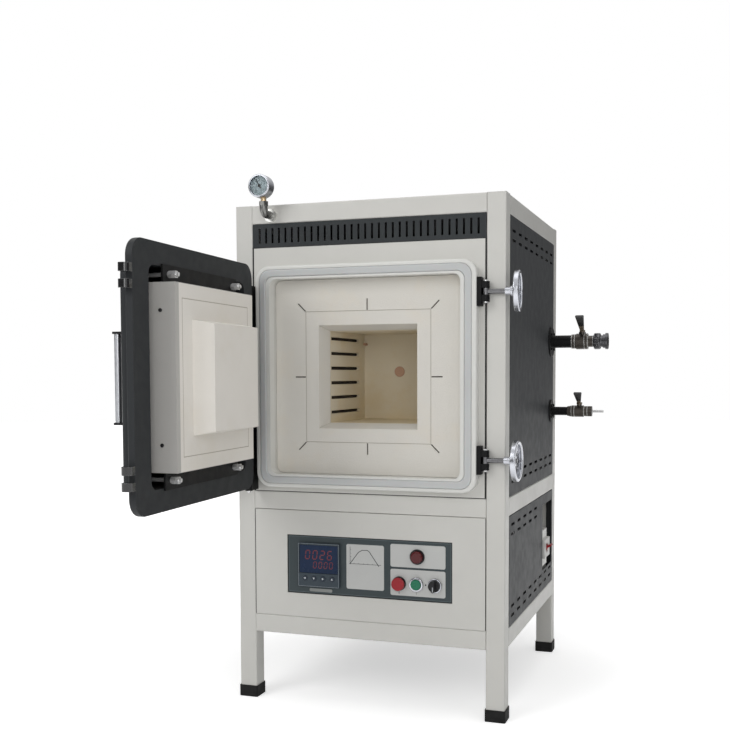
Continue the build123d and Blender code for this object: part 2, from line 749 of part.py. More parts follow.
def knuckle(segment, bore):
    pitch = HINGE_LENGTH / HINGE_SEGMENTS
    start = (HINGE_X, HINGE_Y, HINGE_BOTTOM + segment * pitch + SEAM / 2)
    barrel = rod(start, (0, 0, 1), KNUCKLE_RADIUS, pitch - SEAM)
    return barrel, rod(start, (0, 0, 1), bore, pitch), start[2], pitch


def hinge_frame_leaf():
    """A bar on the front plate that carries every second knuckle."""
    top = HINGE_BOTTOM + HINGE_LENGTH
    left = -FRONT_PLATE_WIDTH / 2
    leaf = block(left, left + HINGE_BAR, FRONT - 28, FRONT, HINGE_BOTTOM, top)
    for segment in range(0, HINGE_SEGMENTS, 2):
        barrel, bore, z, pitch = knuckle(segment, HINGE_PIN_RADIUS + RUNNING_FIT)
        arm = block(left, left + HINGE_BAR, HINGE_Y, FRONT - 27, z, z + pitch - SEAM)
        leaf = leaf + arm + barrel - bore
    return leaf


def hinge_door_leaves():
    leaves = []
    for segment in range(1, HINGE_SEGMENTS, 2):
        barrel, bore, z, pitch = knuckle(segment, HINGE_PIN_RADIUS + RUNNING_FIT)
        arm = block(HINGE_X, DOOR_LEFT, HINGE_Y, HINGE_Y + 10, z, z + pitch - SEAM)
        leaves.append(barrel + arm - bore)
    return leaves


def hinge_pin():
    pin = rod((HINGE_X, HINGE_Y, HINGE_BOTTOM - 4), (0, 0, 1), HINGE_PIN_RADIUS, HINGE_LENGTH + 4)
    cap = rod((HINGE_X, HINGE_Y, HINGE_BOTTOM + HINGE_LENGTH), (0, 0, 1), HINGE_PIN_RADIUS + 2.5, 3)
    return pin + cap


# ---- screw clamps ----

def along(where, distance):
    """A point on a clamp's rod axis, before it is turned to its rest angle."""
    return (CLAMP_X + distance, CLAMP_Y, CLAMP_LEVEL[where])


def resting(where, shape):
    return shape.rotate(Axis((CLAMP_X, CLAMP_Y, 0), (0, 0, 1)), CLAMP_REST[where])


def clamp_bracket(where):
    thick, depth, height = BRACKET
    level = CLAMP_LEVEL[where]
    left = RING_WIDTH / 2
    near = CLAMP_Y - depth / 2
    low = level - height / 2
    bracket = block(left, left + thick, near, near + depth, low, low + height)
    for z0 in (level - EYE_HALF - FIT - EAR_HEIGHT, level + EYE_HALF + FIT):
        ear = rod((CLAMP_X, CLAMP_Y, z0), (0, 0, 1), EAR_RADIUS, EAR_HEIGHT)
        ear += block(left + thick, CLAMP_X, CLAMP_Y - EAR_RADIUS, CLAMP_Y + EAR_RADIUS, z0, z0 + EAR_HEIGHT)
        bracket += ear
    return bracket - rod((CLAMP_X, CLAMP_Y, low), (0, 0, 1), CLAMP_PIN_RADIUS + RUNNING_FIT, height)


def clamp_pin(where):
    reach = EYE_HALF + FIT + EAR_HEIGHT
    start = (CLAMP_X, CLAMP_Y, CLAMP_LEVEL[where] - reach)
    pin = rod(start, (0, 0, 1), CLAMP_PIN_RADIUS, 2 * reach)
    for z in (CLAMP_LEVEL[where] - reach - 2.5, CLAMP_LEVEL[where] + reach):
        pin += rod((CLAMP_X, CLAMP_Y, z), (0, 0, 1), CLAMP_PIN_RADIUS + 2, 2.5)
    return pin


def swing_bolt(where):
    level = CLAMP_LEVEL[where]
    end = WHEEL_HUB[0] + WHEEL_HUB[1] + 3
    bolt = rod(along(where, 0), (1, 0, 0), ROD_RADIUS, end)
    eye = (CLAMP_X, CLAMP_Y, level - EYE_HALF)
    bolt += rod(eye, (0, 0, 1), EYE_RADIUS, 2 * EYE_HALF)
    bolt -= rod(eye, (0, 0, 1), CLAMP_PIN_RADIUS + RUNNING_FIT, 2 * EYE_HALF)
    return resting(where, bolt)


def clamp_collar(where):
    bore = ROD_RADIUS + RUNNING_FIT
    return resting(where, rod(along(where, COLLAR_START), (1, 0, 0), COLLAR_RADIUS, COLLAR_LENGTH, bore))


def clamp_wheel(where):
    """A dished handwheel: hub, sloping web with three windows and a rounded rim."""
    hub_start, hub_length = WHEEL_HUB
    rim_start, rim_width = WHEEL_RIM
    wheel = rod(along(where, hub_start), (1, 0, 0), HUB_RADIUS, hub_length)
    rim = rod(along(where, rim_start), (1, 0, 0), WHEEL_RADIUS, rim_width, WHEEL_RADIUS - RIM_BAR)
    wheel += fillet(rim.edges().filter_by(GeomType.CIRCLE), 2.5)
    section = Plane(origin=along(where, 0), x_dir=(1, 0, 0), z_dir=(0, -1, 0))
    inner = (hub_start + 3, HUB_RADIUS - 1)
    outer = (rim_start + 2, WHEEL_RADIUS - RIM_BAR / 2)
    corners = (inner, (inner[0] + DISH_WALL, inner[1]), (outer[0] + DISH_WALL, outer[1]), outer)
    web = make_face(section * Polyline(*corners, close=True))
    wheel += revolve(web, Axis(along(where, 0), (1, 0, 0)))
    for i in range(WINDOWS):
        middle = 360 / WINDOWS * (i + 0.5) + 90
        arc = CenterArc((0, 0), WINDOW_RADIUS, middle - WINDOW_ARC / 2, WINDOW_ARC)
        window = Plane(origin=along(where, hub_start), z_dir=(1, 0, 0)) * SlotArc(arc, WINDOW_WIDTH)
        wheel -= extrude(window, amount=hub_length + rim_width)
    wheel -= rod(along(where, hub_start), (1, 0, 0), ROD_RADIUS + RUNNING_FIT, hub_length)
    return resting(where, wheel)


# ---- pressure gauge ----

def gauge_elbow():
    """A bent fitting: ring and nipple at the top rail, turned up to the gauge."""
    radius, thick = ELBOW_RING
    ring = rod((GAUGE_X, FRONT - thick, ELBOW_Z), (0, 1, 0), radius, thick)
    start = (GAUGE_X, FRONT - thick, ELBOW_Z)
    corner = (GAUGE_X, GAUGE_STEM_Y, ELBOW_Z)
    end = (GAUGE_X, GAUGE_STEM_Y, ELBOW_Z + ELBOW_RISE)
    route = FilletPolyline(start, corner, end, radius=ELBOW_BEND)
    bend = sweep(Plane(origin=start, z_dir=(0, -1, 0)) * Circle(ELBOW_RADIUS), path=route)
    return ring + bend + rod((GAUGE_X, FRONT, ELBOW_Z), (0, 1, 0), NIPPLE_RADIUS, TUBE)


def gauge_stem():
    bottom = ELBOW_Z + ELBOW_RISE
    top = GAUGE_Z - GAUGE_RADIUS + 2
    stem = rod((GAUGE_X, GAUGE_STEM_Y, bottom), (0, 0, 1), 6, top - bottom)
    return stem + Pos(GAUGE_X, GAUGE_STEM_Y, bottom) * extrude(RegularPolygon(10.5, 6), amount=9)


def gauge_case():
    case = rod((GAUGE_X, GAUGE_FRONT, GAUGE_Z), (0, 1, 0), GAUGE_RADIUS, GAUGE_THICK)
    case = fillet(case.edges().filter_by(GeomType.CIRCLE), 3)
    case -= rod((GAUGE_X, GAUGE_FRONT - 1, GAUGE_Z), (0, 1, 0), GAUGE_RADIUS - 3.5, 9)
    return case - gauge_stem()


def gauge_dial():
    return rod((GAUGE_X, GAUGE_FRONT + 6.5, GAUGE_Z), (0, 1, 0), GAUGE_RADIUS - 3.8, 1.5, 1.2)


def gauge_needle():
    """A pointer on its arbor, pointing up to the left."""
    boss = rod((GAUGE_X, GAUGE_FRONT + 4.2, GAUGE_Z), (0, 1, 0), 3, 1.6)
    arbor = rod((GAUGE_X, GAUGE_FRONT + 4.2, GAUGE_Z), (0, 1, 0), 1.1, 3.6)
    outline = Polyline((-6, -1.3), (17, -0.3), (17, 0.3), (-6, 1.3), close=True)
    blade = Rot(0, 0, NEEDLE_REST) * make_face(outline)
    return boss + arbor + front_slab(blade, GAUGE_FRONT + 4.6, GAUGE_FRONT + 5.4, GAUGE_X, GAUGE_Z)


def gauge_glass():
    return rod((GAUGE_X, GAUGE_FRONT + 1, GAUGE_Z), (0, 1, 0), GAUGE_RADIUS - 3.7, 2)


def gauge_line():
    """The line from the elbow's nipple down to the hot shell."""
    top = MOUTH_Z + RECESS_HEIGHT / 2 + SHELL_WALL
    start = (GAUGE_X, FRONT + TUBE, ELBOW_Z)
    y, level, inner = FRONT + TUBE + 30, ELBOW_Z - 59, GAUGE_X + 66.5
    corners = [(GAUGE_X, y, ELBOW_Z), (GAUGE_X, y, level), (inner, y, level), (inner, y, top)]
    route = FilletPolyline(start, *corners, radius=18)
    return sweep(Plane(origin=start, z_dir=(0, 1, 0)) * Circle(4), path=route)


# ---- side ports ----

def port_pipe(level, radii, end, bend_x):
    """A bent pipe from the hot shell's back to the outside."""
    back = FRONT + SHELL_DEPTH + 6
    corners = [(end, PORT_Y, level), (bend_x, PORT_Y, level), (bend_x, back, level)]
    route = FilletPolyline(*corners, radius=2.4 * radii[0])
    start = Plane(origin=corners[0], z_dir=(-1, 0, 0))
    return sweep(start * Circle(radii[0]), path=route) - sweep(start * Circle(radii[1]), path=route)


def port_flange(level, radius, bore):
    flange = rod((SIDE, PORT_Y, level), (1, 0, 0), radius, PORT_FLANGE, bore + FIT)
    return fillet(flange.edges().filter_by(GeomType.CIRCLE).sort_by(Axis.X)[-2:][:1], 1.5)


def port_pipes():
    return [
        port_pipe(VACUUM_Z, VACUUM_PIPE, VACUUM_PIPE_END, VACUUM_BEND_X),
        port_pipe(GAS_Z, GAS_PIPE, GAS_PIPE_END, GAS_BEND_X),
        port_flange(VACUUM_Z, 37.5, VACUUM_PIPE[0]),
        port_flange(GAS_Z, 28.5, GAS_PIPE[0]),
    ]


def turned(level, steps):
    """A turned body along +X from (start, end, radius) steps."""
    shape = rod((steps[0][0], PORT_Y, level), (1, 0, 0), steps[0][2], steps[0][1] - steps[0][0])
    for start, end, radius in steps[1:]:
        shape += rod((start, PORT_Y, level), (1, 0, 0), radius, end - start)
    return shape


def hexagon_along_x(level, start, end, radius):
    return side_slab(RegularPolygon(radius, 6), start, end, PORT_Y, level)


def vacuum_valve():
    """A ball-valve body with its screwed ends, bonnet and gland."""
    start = VACUUM_PIPE_END
    steps = [(start, start + 8, 17.5), (start + 12, start + 40, 19.5), (start + 40, start + 53, 14)]
    body = turned(VACUUM_Z, steps) + valve_stem(VACUUM_STEM_X, VACUUM_STEM_TOP)
    body += hexagon_along_x(VACUUM_Z, start + 6, start + 14, 20)
    body += rod((VACUUM_STEM_X, PORT_Y, VACUUM_Z), (0, 0, 1), 8.5, 23)
    return body


def valve_stem(x, top):
    return rod((x, PORT_Y, top - 1), (0, 0, 1), STEM_RADIUS, STEM_LENGTH + 1)


def valve_lever(x, base, rise, reach, wide, narrow):
    """A pressed lever: hub on the stem, neck rising to the front and a widening grip."""
    hub = rod((x, PORT_Y, base), (0, 0, 1), 7, 5)
    neck = Vector(x, PORT_Y - 4, base + 2.5)
    tip = Vector(x, PORT_Y - reach, base + rise)
    arm = tip - neck
    plane = Plane(origin=neck, x_dir=Vector(1, 0, 0), z_dir=arm)
    first = plane * Ellipse(narrow, 2.6)
    last = plane.offset(arm.length) * RectangleRounded(2 * wide, 7, 3)
    grip = loft([first.face(), last.face()])
    return hub + grip - rod((x, PORT_Y, base), (0, 0, 1), STEM_RADIUS + RUNNING_FIT, STEM_LENGTH + 1)


def kf_flange():
    """The small-flange adapter on the valve, open to the outside."""
    start = VACUUM_PIPE_END + 53
    steps = [(start, start + 24, 14.5), (start + 24, start + 30, 17), (start + 30, KF_END, 20)]
    return turned(VACUUM_Z, steps) - rod((start + 4, PORT_Y, VACUUM_Z), (1, 0, 0), KF_BORE, KF_END)


def kf_clamp():
    start = VACUUM_PIPE_END + 55
    clamp = rod((start, PORT_Y, VACUUM_Z), (1, 0, 0), 20, 16, 14.5 + FIT / 2)
    clamp = fillet(clamp.edges().filter_by(GeomType.CIRCLE).sort_by(SortBy.RADIUS)[-2:], 3)
    ear = block(start + 3, start + 13, PORT_Y - 30, PORT_Y - 18, VACUUM_Z - 7, VACUUM_Z + 7)
    screw = rod((start + 8, PORT_Y - 25, VACUUM_Z - 12), (0, 0, 1), 3, 30)
    return clamp + ear + screw


def gas_valve():
    start = GAS_PIPE_END
    steps = [(start, start + 8, 12.5), (start + 10, start + 40, 14.3), (start + 40, start + 60, 12.5)]
    body = turned(GAS_Z, steps) + valve_stem(GAS_STEM_X, GAS_STEM_TOP)
    body += hexagon_along_x(GAS_Z, start + 6, start + 12, 15)
    body += hexagon_along_x(GAS_Z, start + 46, start + 60, 14.3)
    body += rod((GAS_STEM_X, PORT_Y, GAS_Z), (0, 0, 1), 6, 17)
    return body


def gas_tube():
    start = GAS_PIPE_END + 60
    return rod((start, PORT_Y, GAS_Z), (1, 0, 0), 3.175, 28, 2.0)


# ---- control panel ----

def control_plate():
    outline = Rectangle(PANEL[0] + 24, PANEL[1] + 24)
    plate = front_slab(outline, FRONT + SHEET, FRONT + 2 * SHEET, PANEL_X, PANEL_Z)
    seat = Rectangle(CONTROLLER_BODY + 1, CONTROLLER_BODY + 1)
    plate -= front_slab(seat, FRONT, FRONT + 9, CONTROLLER_X, PANEL_Z + 0.4)
    for x, z in (LAMP_PLACE, RED_PLACE, GREEN_PLACE, SELECTOR_PLACE):
        plate -= rod((x, FRONT, z), (0, 1, 0), SWITCH_HOLE, 9)
    return plate


def key_xs():
    return [CONTROLLER_X + (i - 1.5) * KEY_PITCH for i in range(4)]


def controller_case():
    middle = PANEL_Z + 0.4
    face = FRONT + SHEET
    case = front_slab(RectangleRounded(CONTROLLER, CONTROLLER, 3), face - 7, face, CONTROLLER_X, middle)
    case = fillet(edges_at(case, Axis.Y, face - 7.1, face - 6.9), 1.5)
    case += front_slab(Rectangle(CONTROLLER_BODY, CONTROLLER_BODY), face, face + 75, CONTROLLER_X, middle)
    case -= block(CONTROLLER_X - 45, CONTROLLER_X + 45, face - 8, face - 4.8, 286.8, 348.6)
    for x in key_xs():
        case -= rod((x, face - 8, KEY_Z), (0, 1, 0), KEY_RADIUS + 0.2, 8)
    return case


def controller_key(x):
    face = FRONT + SHEET
    key = rod((x, face - 8.2, KEY_Z), (0, 1, 0), KEY_RADIUS, 6.7)
    return fillet(key.edges().filter_by(GeomType.CIRCLE).sort_by(Axis.Y)[0], 0.8)


def switch_body(place, radius, proud, head, stem):
    """A panel switch: bezel in front, body behind, and a stepped bore for its actuator."""
    x, z = place
    face = FRONT + SHEET - 0.5
    body = rod((x, face - proud, z), (0, 1, 0), radius, proud)
    body += rod((x, face, z), (0, 1, 0), SWITCH_HOLE - FIT, 14)
    body += block(x - 14, x + 14, face + 14, face + 44, z - 14, z + 14)
    body -= rod((x, face - proud - 1, z), (0, 1, 0), head + FIT / 2, proud + 1)
    return body - rod((x, face - 1, z), (0, 1, 0), stem + FIT / 2, 12)


def switch_bodies():
    return [
        switch_body(RED_PLACE, 15, 3, BUTTON_STEM, BUTTON_STEM),
        switch_body(GREEN_PLACE, 14.5, 4, GREEN_RADIUS, BUTTON_STEM),
        switch_body(SELECTOR_PLACE, 14.5, 4, BUTTON_STEM, BUTTON_STEM),
        switch_body(LAMP_PLACE, 16, 3, 13, LAMP_STEM),
    ]


def button(place, radius, front, back, edge, stem=BUTTON_STEM):
    """A button cap between two levels before the panel, on its stem."""
    x, z = place
    face = FRONT + SHEET - 0.5
    cap = rod((x, face - front, z), (0, 1, 0), radius, front - back)
    cap = fillet(cap.edges().filter_by(GeomType.CIRCLE).sort_by(Axis.Y)[0], edge)
    return cap + rod((x, face - back - 0.1, z), (0, 1, 0), stem, back + 4)


def red_button():
    return button(RED_PLACE, RED_RADIUS, 13.5, 7.5, 2)


def green_button():
    return button(GREEN_PLACE, GREEN_RADIUS, 7.5, 3.5, 1)


def selector_knob():
    """A round knob with a raised grip bar, pointing down."""
    x, z = SELECTOR_PLACE
    face = FRONT + SHEET - 0.5
    knob = rod((x, face - 4.6 - 6, z), (0, 1, 0), 12.5, 6)
    knob += rod((x, face - 5, z), (0, 1, 0), 9.5, 9)
    bar = front_slab(SlotOverall(24, 8, rotation=90), face - 20, face - 10, x, z)
    return knob + bar


def pilot_lens():
    return button(LAMP_PLACE, 13, 12, FIT, 4, LAMP_STEM)


# ---- electrics ----

def breaker_rail():
    """The rail on a standing bracket that carries the breaker."""
    y0 = FRONT + BREAKER_Y - 12
    y1 = FRONT + BREAKER_Y + BREAKER_WIDTH + 12
    back = BREAKER_BACK
    web = block(back - 8, back - 6, y0, y1, LOW_RAIL_TOP + SHEET, BREAKER_Z + 20)
    foot = block(back - 30, back - 6, y0, y1, LOW_RAIL_TOP + SHEET, LOW_RAIL_TOP + 2 * SHEET)
    hat = block(back - 6, back, y0, y1, BREAKER_Z - 17.5, BREAKER_Z + 17.5)
    return web + foot + hat


def breaker_body():
    """A four-pole breaker: full body to the panel and a raised nose with the toggle slot."""
    y0 = FRONT + BREAKER_Y
    y1 = y0 + BREAKER_WIDTH
    half = BREAKER_HEIGHT / 2
    front = BREAKER_FACE + BREAKER_NOSE
    body = block(BREAKER_BACK, BREAKER_FACE, y0, y1, BREAKER_Z - half, BREAKER_Z + half)
    body += block(BREAKER_FACE, front, y0, y1, BREAKER_Z - 22.5, BREAKER_Z + 22.5)
    trough = Rectangle(24, 22)
    return body - side_slab(trough, front - 14, front + 1, (y0 + y1) / 2, BREAKER_Z)


def breaker_toggle():
    """The toggle's drum in its trough, with the handle standing out and up."""
    middle = FRONT + BREAKER_Y + BREAKER_WIDTH / 2
    centre = BREAKER_FACE + BREAKER_NOSE - 5
    drum = rod((centre, middle - 11.5, BREAKER_Z), (0, 1, 0), TOGGLE_DRUM, 23)
    handle = Pos(centre, middle, BREAKER_Z) * Rot(0, -25, 0) * Pos(11, 0, 0) * Box(14, 23, 5)
    return drum + handle


def transformer():
    x, y, z = -120.0, REAR - 192, LOW_RAIL_TOP + SHEET
    core = block(x - 65, x + 65, y - 40, y + 40, z, z + 110)
    core -= block(x - 41, x - 16, y - 41, y + 41, z + 24, z + 86)
    return core - block(x + 16, x + 41, y - 41, y + 41, z + 24, z + 86)


def transformer_coil():
    x, y, z = -120.0, REAR - 192, LOW_RAIL_TOP + SHEET
    coil = block(x - 40, x + 40, y - 60, y + 60, z + 25, z + 85)
    return coil - block(x - 16 - FIT, x + 16 + FIT, y - 40 - FIT, y + 40 + FIT, z + 24, z + 86)


def heat_sink():
    """A finned heat sink standing on the base tray."""
    x, y, z = 20.0, REAR - 212, LOW_RAIL_TOP + SHEET
    sink = block(x, x + 8, y, y + 100, z, z + 130)
    for i in range(9):
        sink += block(x + 8, x + 38, y + i * 12, y + i * 12 + 4, z, z + 130)
    return sink


def power_controller():
    x, y, z = 20.0, REAR - 212, LOW_RAIL_TOP + SHEET
    return block(x - 28, x, y + 15, y + 85, z + 30, z + 110)


def terminal_block():
    z = LOW_RAIL_TOP + SHEET
    strip = block(100, 200, REAR - 110, REAR - 80, z, z + 8)
    for i in range(6):
        strip += block(102 + i * 16.5, 115 + i * 16.5, REAR - 108, REAR - 82, z + 8, z + 30)
    return strip


def cable_gland():
    """A bare cable gland through the rear lower panel."""
    start = REAR - SHEET - 8
    gland = rod((GLAND_X, start, GLAND_Z), (0, 1, 0), GLAND_THREAD, 8 + SHEET)
    nut = Plane(origin=(GLAND_X, start + 2, GLAND_Z), z_dir=(0, 1, 0)) * RegularPolygon(17, 6)
    gland += extrude(nut, amount=6)
    outer = Plane(origin=(GLAND_X, REAR, GLAND_Z), z_dir=(0, 1, 0)) * RegularPolygon(17, 6)
    gland += extrude(outer, amount=7)
    gland += rod((GLAND_X, REAR + 7, GLAND_Z), (0, 1, 0), 14.5, 12)
    return gland - rod((GLAND_X, start - 1, GLAND_Z), (0, 1, 0), GLAND_BORE, 60)


# ---- cooling fan ----

def fan_back():
    return REAR - SHEET


def fan_housing():
    """A square housing with a round duct, and a spider that carries the motor boss and shaft."""
    back = fan_back()
    front = back - FAN_DEPTH
    housing = front_slab(RectangleRounded(FAN_SIZE, FAN_SIZE, 6), front, back, 0, FAN_Z)
    housing -= rod((0, front - 1, FAN_Z), (0, 1, 0), FAN_BORE, FAN_DEPTH + 2)
    housing += rod((0, back - 6, FAN_Z), (0, 1, 0), FAN_HUB, 5)
    for turn in (45, 135, 225, 315):
        arm = Rot(0, 0, turn) * Pos((FAN_HUB + FAN_BORE) / 2, 0) * Rectangle(FAN_BORE - FAN_HUB + 4, 5)
        housing += front_slab(arm, back - 5, back - 2, 0, FAN_Z)
    return housing + rod((0, front + 8, FAN_Z), (0, 1, 0), 3, FAN_DEPTH - 12)


def fan_rotor():
    """A hub with twisted blades, turning on the housing's shaft."""
    front = fan_back() - FAN_DEPTH
    start = front + 4
    rotor = rod((0, start, FAN_Z), (0, 1, 0), FAN_HUB - 1, 26)
    middle = start + 13
    for i in range(BLADES):
        blade = Pos((FAN_TIP + FAN_HUB) / 2 - 3, 0, 0) * Rot(38, 0, 0) * Box(FAN_TIP - FAN_HUB + 5, 1.8, 30)
        rotor += Pos(0, middle, FAN_Z) * Rot(0, 360 / BLADES * i, 0) * blade
    return rotor - rod((0, front + 8 - SEAM, FAN_Z), (0, 1, 0), 3 + RUNNING_FIT, 40)


os.makedirs("parts", exist_ok=True)

save("cabinet_frame", *frame_posts(), *cross_rails(), *side_rails())
save("feet", *feet())
save("front_plate", front_plate())
save("vent_grille", vent_grille())
save("lower_front_panel", lower_front_panel())
save("cover_panels", *cover_panels())
save("rear_panels", rear_upper_panel(), rear_lower_panel())
save("decks", *decks())

save("mouth_ring", mouth_ring())
save("door_seal", door_seal())
save("hot_shell", hot_shell(), shell_back())
save("front_boards", expansion_slits(face_board()), mouth_block())
save("chamber_muffle", chamber_muffle())
save("heating_elements", *heating_elements(), *terminal_posts())
save("insulation", insulation())
save("chamber_fittings", thermocouple(), gas_plug())

save("door_flange", opened(door_flange()))
save("door_pan", opened(door_pan()), *[opened(bar) for bar in plug_bars()])
save("door_plug", opened(door_block()), opened(door_nose()), opened(door_backing()))
save("plug_fixings", *[opened(piece) for piece in plug_studs() + plug_nuts()])
save("door_lugs", *[opened(lug) for lug in door_lugs()])
save("handle_posts", *[opened(post) for post in handle_posts()])
save("handle_grip", opened(handle_grip()))
save("hinge_door_leaves", *[opened(leaf) for leaf in hinge_door_leaves()])
save("hinge_frame_leaf", hinge_frame_leaf())
save("pivot_pins", hinge_pin(), *[clamp_pin(where) for where in CLAMP_LEVEL])

save("clamp_brackets", *[clamp_bracket(where) for where in CLAMP_LEVEL])
for where in CLAMP_LEVEL:
    save(f"swing_bolt_{where}", swing_bolt(where))
    save(f"clamp_collar_{where}", clamp_collar(where))
    save(f"clamp_wheel_{where}", clamp_wheel(where))

save("gauge_case", gauge_case(), gauge_dial())
save("gauge_needle", gauge_needle())
save("gauge_glass", gauge_glass())
save("gauge_fittings", gauge_stem(), gauge_elbow(), gauge_line())

save("port_pipes", *port_pipes())
save("port_valves", vacuum_valve(), gas_valve())
save("port_fittings", kf_flange(), kf_clamp(), gas_tube())
save("vacuum_lever", valve_lever(VACUUM_STEM_X, VACUUM_STEM_TOP, 36, 54, 10.5, 5))
save("gas_lever", valve_lever(GAS_STEM_X, GAS_STEM_TOP, 28, 34, 10, 4))

save("control_plate", control_plate())
save("controller_case", controller_case())
for number, x in enumerate(key_xs(), 1):
    save(f"controller_key_{number}", controller_key(x))
save("switch_bodies", *switch_bodies())
save("pilot_lens", pilot_lens())
save("red_button", red_button())
save("green_button", green_button())
save("selector_knob", selector_knob())

save("breaker_body", breaker_body())
save("breaker_toggle", breaker_toggle())
save("transformer", transformer(), transformer_coil())
save("power_controller", power_controller(), heat_sink(), terminal_block())
save("cable_gland", cable_gland())
save("fan_housing", fan_housing())
save("fan_rotor", fan_rotor())
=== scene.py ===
import math

import bmesh
import bpy
from bpy.props import FloatProperty, FloatVectorProperty, IntProperty, PointerProperty
from mathutils import Matrix, Vector


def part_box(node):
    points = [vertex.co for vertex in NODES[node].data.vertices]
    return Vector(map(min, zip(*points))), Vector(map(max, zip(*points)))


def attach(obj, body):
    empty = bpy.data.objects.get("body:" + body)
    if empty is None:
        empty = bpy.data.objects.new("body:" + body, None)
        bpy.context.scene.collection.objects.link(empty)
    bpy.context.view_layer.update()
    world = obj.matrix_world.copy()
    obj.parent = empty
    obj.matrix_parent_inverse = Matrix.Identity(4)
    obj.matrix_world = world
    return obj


bl_info = {
    "name": "Muffle furnace dresser",
    "version": (1, 0, 0),
    "blender": (4, 5, 0),
    "location": "3D View > Sidebar > Furnace",
    "description": "Dresses the muffle furnace's solids with finishes, cards, marks and small hardware",
    "category": "Object",
}

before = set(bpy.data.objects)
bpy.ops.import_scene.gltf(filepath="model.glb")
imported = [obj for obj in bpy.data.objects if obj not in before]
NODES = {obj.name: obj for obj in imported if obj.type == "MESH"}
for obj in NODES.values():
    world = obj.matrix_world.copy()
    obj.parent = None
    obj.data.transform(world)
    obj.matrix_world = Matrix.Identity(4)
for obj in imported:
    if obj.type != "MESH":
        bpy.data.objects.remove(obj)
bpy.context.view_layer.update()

# Places on the furnace, in metres
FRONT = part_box("lower_front_panel")[0].y
REAR = -FRONT
SIDE = 0.300
MOUTH_Z = 0.7115
HINGE = Vector((-0.255, FRONT - 0.040, 0.0))
DOOR_OPEN = math.radians(87.17)
REAR_BAYS = ((0.4625, 1.042), (0.1885, 0.4225))
REAR_SCREW_X = 0.252
REAR_SCREW_INSET = 0.009
SLIT_REACH = 0.1403
SLIT_SIZE = (0.024, 0.0025)
PLUG_FACE = (-0.1788, 0.1548)
PLUG_FACE_HALF = 0.1668
PAN_SIDES = (-0.2056, 0.1996)
PAN_HALF = 0.1966
PAN_FLOOR, PAN_MOUTH = FRONT - 0.0808, FRONT - 0.030
PLUG_SCREW = (0.1675, FRONT - 0.0205)
PLUG_SCREW_LEVELS = (0.593, 0.830)
CLAMPS = {"upper": (0.8825, 4.5), "lower": (0.5425, -1.0)}
CLAMP_X = 0.261
CLAMP_Y = FRONT - 0.012
THREAD_START = 0.012
PORT_Y = FRONT + 0.536
FLANGE_FACE = SIDE + 0.004
FLANGES = ((0.797, 0.0265), (0.624, 0.0195))
DIAL_FACE = FRONT - 0.0535
PLATE_FRONT = FRONT + 0.002
CARD_FRONT = FRONT + 0.0015
SCREEN_FLOOR = FRONT - 0.0028
KEY_FRONT = FRONT - 0.0062
PLATE_X, PLATE_Z = 0.00275, 0.3046
CONTROLLER_X, CONTROLLER_Z = -0.1085, 0.305
SCREEN_Z = 0.3177
CARD_X = -0.0035
SWITCH_Z = 0.276
RED_X, GREEN_X, DOT_X, SELECTOR_X = 0.073, 0.111, 0.1312, 0.1515
LAMP_X, LAMP_Z = 0.113, 0.3345
SWITCH_HOLE = 0.0112

FLOOR_GLOW = 0.52
X, Y, Z = (1, 0, 0), (0, 1, 0), (0, 0, 1)


def tone(red, green, blue):
    """A colour from the 0-255 scale, as the linear values that shaders take."""
    def linear(value):
        share = value / 255
        return share / 12.92 if share <= 0.04045 else ((share + 0.055) / 1.055) ** 2.4
    return (linear(red), linear(green), linear(blue))


# ---- settings that a user would change ----

def paint_setting(name, description, colour):
    return FloatVectorProperty(name=name, description=description, subtype="COLOR", size=3, min=0, max=1,
                               default=tone(*colour))


def size_setting(name, description, low, high, default, precision):
    return FloatProperty(name=name, description=description, subtype="DISTANCE", min=low, max=high,
                         default=default, precision=precision)


class FurnaceColours(bpy.types.PropertyGroup):
    """The furnace's main paints."""

    cream: paint_setting("Frame paint", "Powder coat on the frame and the front panels", (211, 210, 205))
    charcoal: paint_setting("Panel paint", "Powder coat on the side and rear panels and the door", (45, 47, 49))
    ceramic: paint_setting("Fibre board", "Pressed ceramic fibre around the mouth", (222, 219, 212))
    slate: paint_setting("Panel plate", "Anodised plate behind the controller and the switches", (62, 71, 74))
    digits: paint_setting("Display digits", "Glow of the controller's digits", (150, 26, 40))


class FurnaceSizes(bpy.types.PropertyGroup):
    """Sizes of the small pieces that are added to the solids."""

    peel: size_setting("Orange peel", "Height of the powder coat's texture", 0, 0.001, 0.00012, 5)
    soft_edge: size_setting("Soft edge", "Radius that sharp edges catch the light with", 0, 0.003, 0.0008, 5)
    thread_pitch: size_setting("Thread pitch", "Pitch of the clamp bolts' thread", 0.0005, 0.004, 0.002, 4)
    screw_radius: size_setting("Screw head", "Radius of the panel screws' heads", 0.001, 0.008, 0.0038, 4)
    dial_ticks: IntProperty(name="Dial ticks", description="Number of graduations on the gauge's dial",
                            min=5, max=101, default=41)


def colours():
    return bpy.context.scene.furnace_colours


def sizes():
    return bpy.context.scene.furnace_sizes


# ---- nodes ----

def feed(tree, socket, value):
    """Link a socket to another, or set it to a number, a vector or a colour."""
    if isinstance(value, bpy.types.NodeSocket):
        tree.links.new(value, socket)
    elif socket.type == "RGBA":
        socket.default_value = (*value[:3], 1)
    else:
        socket.default_value = value


def feed_all(tree, node, values):
    """Feed a node's inputs, by name or number."""
    for key, value in values.items():
        feed(tree, node.inputs[key], value)
    return node


def add(tree, kind, inputs=None, **settings):
    """A new node with its settings and its inputs."""
    node = tree.nodes.new(kind)
    for name, value in settings.items():
        setattr(node, name, value)
    return feed_all(tree, node, inputs or {})


